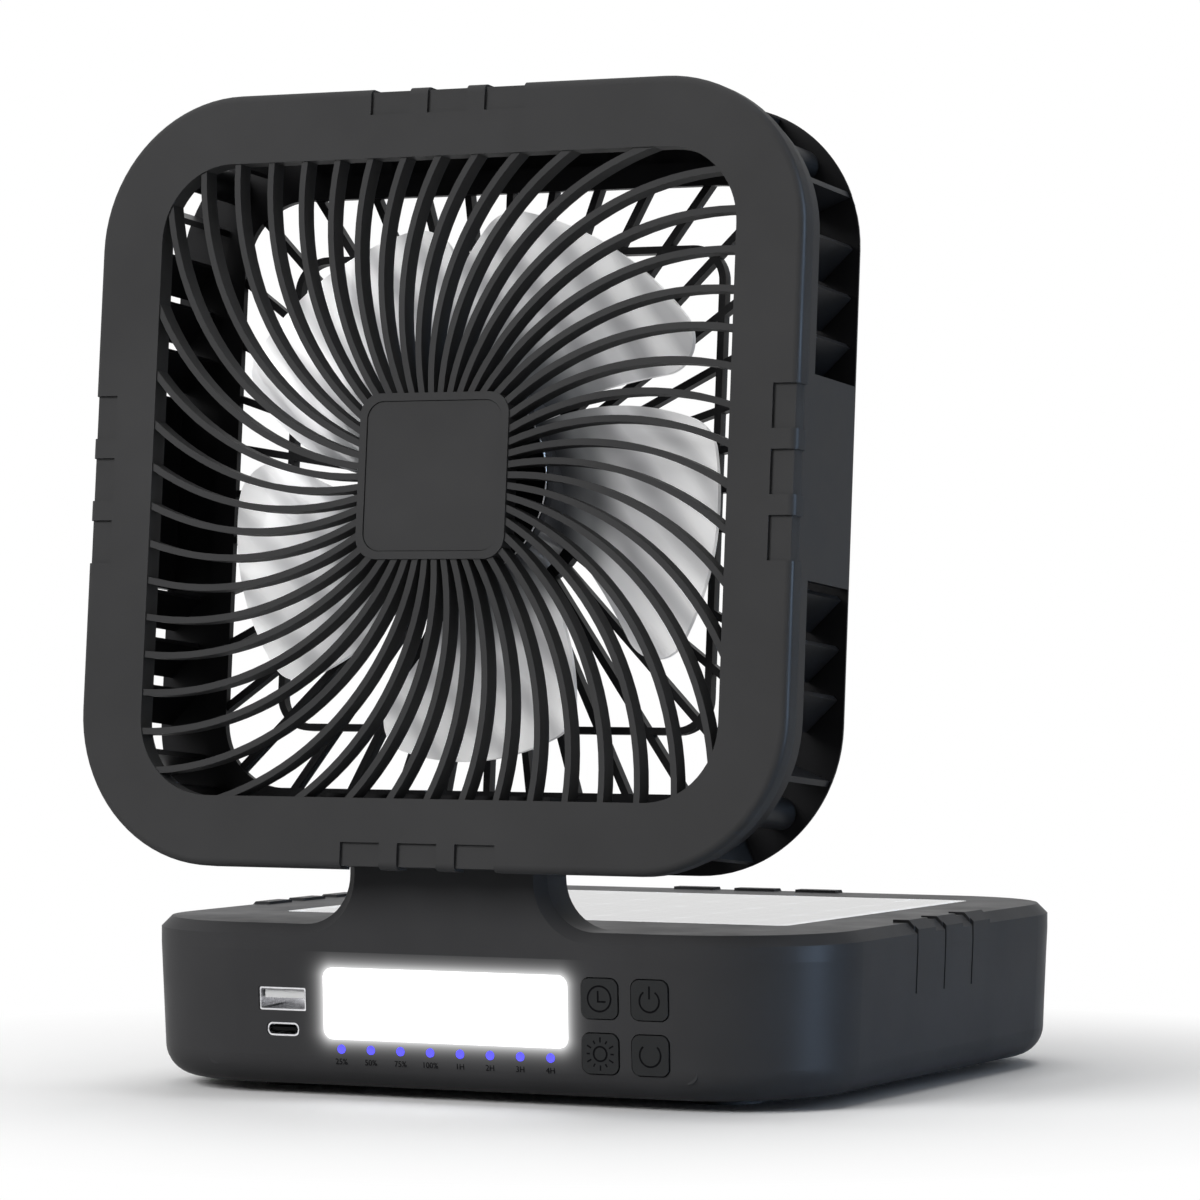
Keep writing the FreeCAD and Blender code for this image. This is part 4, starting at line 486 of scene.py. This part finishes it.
def join_rings(shape, first, second):
    """Four-sided faces between two rings with as many corners."""
    count = len(first)
    for corner in range(count):
        following = (corner + 1) % count
        shape.faces.new((first[corner], second[corner], second[following], first[following]))


# Icons on the buttons, flat strokes that stand slightly proud, in the front panel's frame
BUTTON_FRONT = -0.3 * MM
MARK_FRONT = BUTTON_FRONT - 0.06 * MM
MARK_BACK = BUTTON_FRONT + 0.25 * MM
MARK_WIDTH = 0.42 * MM
LEFT_COLUMN = 42.1 * MM
RIGHT_COLUMN = 55.35 * MM
UPPER_ROW = -9.1 * MM
LOWER_ROW = -22.35 * MM


def add_stroke(shape, points, width=MARK_WIDTH, closed=False):
    """A flat band of even width along points (x, z)."""
    count = len(points)
    rings = []
    for index, point in enumerate(points):
        before = points[index - 1] if closed or index else point
        after = points[(index + 1) % count] if closed or index < count - 1 else point
        run = Vector((after[0] - before[0], after[1] - before[1])).normalized()
        side = Vector((-run.y, run.x)) * width / 2
        ring = []
        for sign, depth in ((1, MARK_FRONT), (1, MARK_BACK), (-1, MARK_BACK), (-1, MARK_FRONT)):
            ring.append(shape.verts.new((point[0] + side.x * sign, depth, point[1] + side.y * sign)))
        rings.append(ring)
    for index in range(count if closed else count - 1):
        join_rings(shape, rings[index], rings[(index + 1) % count])
    if not closed:
        shape.faces.new(rings[0])
        shape.faces.new(rings[-1][::-1])


def arc_points(centre, radius, start, end, steps):
    """Points on an arc, angles in degrees counted from straight up, clockwise."""
    points = []
    for index in range(steps + 1):
        angle = math.radians(start + (end - start) * index / steps)
        points.append((centre[0] + radius * math.sin(angle), centre[1] + radius * math.cos(angle)))
    return points


def mark_clock(shape):
    """A clock's face with two hands."""
    centre = (LEFT_COLUMN, UPPER_ROW)
    face_radius = 3.05 * MM
    pivot = (centre[0] - 0.35 * MM, centre[1] - 0.7 * MM)
    long_hand = 2.6 * MM
    short_hand = 2.05 * MM
    add_stroke(shape, arc_points(centre, face_radius, 0, 352, 44), closed=True)
    add_stroke(shape, [(pivot[0], pivot[1] + long_hand), pivot])
    add_stroke(shape, [(pivot[0] - MARK_WIDTH / 2, pivot[1]), (pivot[0] + short_hand, pivot[1])])


def mark_power(shape):
    """A ring that is open at its top, with a bar in the opening."""
    centre = (RIGHT_COLUMN, UPPER_ROW - 0.2 * MM)
    ring_radius = 2.6 * MM
    half_gap = 35
    bar_top = centre[1] + 3.6 * MM
    bar_bottom = centre[1] + 0.5 * MM
    add_stroke(shape, arc_points(centre, ring_radius, half_gap, 360 - half_gap, 36))
    add_stroke(shape, [(centre[0], bar_top), (centre[0], bar_bottom)])


def mark_sun(shape):
    """A ring with long and short rays in turn."""
    centre = (LEFT_COLUMN, LOWER_ROW)
    ring_radius = 1.75 * MM
    ray_count = 12
    ray_start = 2.75 * MM
    ray_ends = (4.0 * MM, 3.6 * MM)
    ray_width = MARK_WIDTH * 0.85
    add_stroke(shape, arc_points(centre, ring_radius, 0, 345, 24), closed=True)
    for index in range(ray_count):
        angle = math.tau * index / ray_count
        ray = []
        for reach in (ray_start, ray_ends[index % 2]):
            ray.append((centre[0] + reach * math.sin(angle), centre[1] + reach * math.cos(angle)))
        add_stroke(shape, ray, ray_width)


def mark_arc(shape):
    """A ring that is open at its top."""
    centre = (RIGHT_COLUMN, LOWER_ROW + 0.1 * MM)
    ring_radius = 2.75 * MM
    half_gap = 42
    add_stroke(shape, arc_points(centre, ring_radius, half_gap, 360 - half_gap, 36))


MARKS = (
    ("timer_mark", mark_clock, "timer_button"),
    ("power_mark", mark_power, "power_button"),
    ("light_mark", mark_sun, "light_button"),
    ("speed_mark", mark_arc, "speed_button"),
)
for name, build, body in MARKS:
    piece_from(name, build, mark_plastic, body, PANEL)

# Printed labels under the indicator lights
LABELS = ("25%", "50%", "75%", "100%", "1H", "2H", "3H", "4H")
LABEL_PITCH = 8.18 * MM
LABEL_ROW = -27.0 * MM
LABEL_SIZE = 2.025 * MM
LABEL_FRONT = -0.02 * MM
LABEL_HALF_DEPTH = 0.03 * MM
UPRIGHT = Matrix.Rotation(math.pi / 2, 4, "X")


def make_label(name, text, x):
    """Plain printed characters, centred on x."""
    curve = bpy.data.curves.new(name, "FONT")
    curve.body = text
    curve.align_x = "CENTER"
    curve.align_y = "CENTER"
    curve.size = LABEL_SIZE
    curve.extrude = LABEL_HALF_DEPTH
    curve.resolution_u = 3
    holder = link_object(name + "_outline", curve)
    bpy.context.view_layer.update()
    mesh = bpy.data.meshes.new_from_object(holder)
    bpy.data.objects.remove(holder)
    mesh.transform(PANEL @ Matrix.Translation((x, LABEL_FRONT, LABEL_ROW)) @ UPRIGHT)
    mesh.materials.clear()
    mesh.materials.append(label_ink)
    piece = link_object(name, mesh)
    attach(piece, "base")


for index, text in enumerate(LABELS):
    make_label("label_%d" % (index + 1), text, LABEL_PITCH * (index - (len(LABELS) - 1) / 2))

# Painted highlight: a thin bright ring that stands for the highlight on the edge of the rotor's hub
HUB_RING_RADIUS = 25.0 * MM
HUB_RING_DEPTH = 11.95 * MM
HUB_WIRE_RADIUS = 0.22 * MM
HUB_WIRE_SIDES = 8
HUB_RING_STEPS = 96


def hub_edge_highlight(shape):
    rings = []
    for step in range(HUB_RING_STEPS):
        turn = math.tau * step / HUB_RING_STEPS
        ring = []
        for side in range(HUB_WIRE_SIDES):
            around = math.tau * side / HUB_WIRE_SIDES
            reach = HUB_RING_RADIUS + HUB_WIRE_RADIUS * math.cos(around)
            depth = HUB_RING_DEPTH + HUB_WIRE_RADIUS * math.sin(around)
            ring.append(shape.verts.new((reach * math.cos(turn), depth, reach * math.sin(turn))))
        rings.append(ring)
    for step in range(HUB_RING_STEPS):
        join_rings(shape, rings[step], rings[(step + 1) % HUB_RING_STEPS])


piece_from("hub_edge_highlight", hub_edge_highlight, hub_highlight_metal, "rotor", HEAD)

# Camera at the photograph's place
CAMERA_LENS = 156.0
CAMERA_SENSOR = 36.0
CAMERA_PLACE = (0.585, -1.20765, 0.1215)
CAMERA_TILT = math.radians(90.037)
CAMERA_TURN = math.radians(25.865)
CAMERA_REACH = 50.0

camera_data = bpy.data.cameras.new("camera")
camera_data.lens = CAMERA_LENS
camera_data.sensor_width = CAMERA_SENSOR
camera_data.clip_end = CAMERA_REACH
camera = link_object("camera", camera_data)
camera.location = CAMERA_PLACE
camera.rotation_euler = (CAMERA_TILT, 0.0, CAMERA_TURN)
bpy.context.scene.camera = camera

# Floor: white, with the fan's shadow on it, which fades out between two radii
FLOOR_REACH = 30.0
FLOOR_GREY = (0.3, 0.3, 0.3)
SHADOW_FULL_RADIUS = 0.125
SHADOW_END_RADIUS = 0.26


def floor_white():
    """White where it is seen, and grey for the light that it throws back at the fan."""
    material, tree, shader = new_material("floor_white")
    shader.inputs["Roughness"].default_value = 0.6
    shader.inputs["Specular IOR Level"].default_value = 0.1
    seen = seen_or_mirrored(tree)
    tree.links.new(ramp(tree, seen, [(0.0, FLOOR_GREY), (1.0, WHITE)]), shader.inputs["Base Color"])
    parts = split_place(tree, object_place(tree))
    far = length(tree, parts["X"], parts["Y"])
    fade = spread(tree, far, SHADOW_FULL_RADIUS, SHADOW_END_RADIUS, 0.0, 1.0)
    plain = add_node(tree, "ShaderNodeEmission")
    mix = add_node(tree, "ShaderNodeMixShader")
    tree.links.new(calculate(tree, "MULTIPLY", fade, seen), mix.inputs["Fac"])
    tree.links.new(shader.outputs["BSDF"], mix.inputs[1])
    tree.links.new(plain.outputs["Emission"], mix.inputs[2])
    surface = next(node for node in tree.nodes if node.type == "OUTPUT_MATERIAL")
    tree.links.new(mix.outputs["Shader"], surface.inputs["Surface"])
    return material


floor_mesh = bpy.data.meshes.new("floor")
floor_shape = bmesh.new()
bmesh.ops.create_grid(floor_shape, x_segments=1, y_segments=1, size=FLOOR_REACH)
floor_shape.to_mesh(floor_mesh)
floor_shape.free()
floor_mesh.materials.append(floor_white())
floor = link_object("floor", floor_mesh)

# World: white where it is seen, and a plain level of light for the rest
WORLD_LEVEL = 0.18

world = bpy.data.worlds.new("studio")
bpy.context.scene.world = world
world.use_nodes = True
world_tree = world.node_tree
background = next(node for node in world_tree.nodes if node.type == "BACKGROUND")
world_strength = spread(world_tree, seen_or_mirrored(world_tree), 0.0, 1.0, WORLD_LEVEL, 1.0)
world_tree.links.new(world_strength, background.inputs["Strength"])
background.inputs["Color"].default_value = WHITE + (1.0,)


# Lamps
def lamp(name, place, target, width, height, power, colour=WHITE):
    """A rectangular lamp that the camera doesn't see, facing its target."""
    data = bpy.data.lights.new(name, "AREA")
    data.shape = "RECTANGLE"
    data.size = width
    data.size_y = height
    data.energy = power
    data.color = colour
    light = link_object(name, data)
    light.location = place
    direction = Vector(target) - Vector(place)
    light.rotation_euler = direction.to_track_quat("-Z", "Y").to_euler()
    light.visible_camera = False
    return light


lamp("key_light", (-0.9, -1.9, 1.3), (0.0, 0.0, 0.1), width=1.2, height=1.2, power=40.0)
lamp("top_light", (0.1, 0.3, 2.2), (0.0, 0.0, 0.0), width=1.6, height=1.6, power=20.0)

# The bluish edge light shows only in reflections, on the rounded corners at the right
EDGE_BLUE = (0.5, 0.7, 1.0)
edge_light = lamp("edge_light", (1.5, 0.12, 0.35), (0.0, 0.0, 0.12), 0.14, 1.0, power=260.0, colour=EDGE_BLUE)
edge_light.visible_diffuse = False

bpy.context.scene.view_settings.view_transform = "Standard"
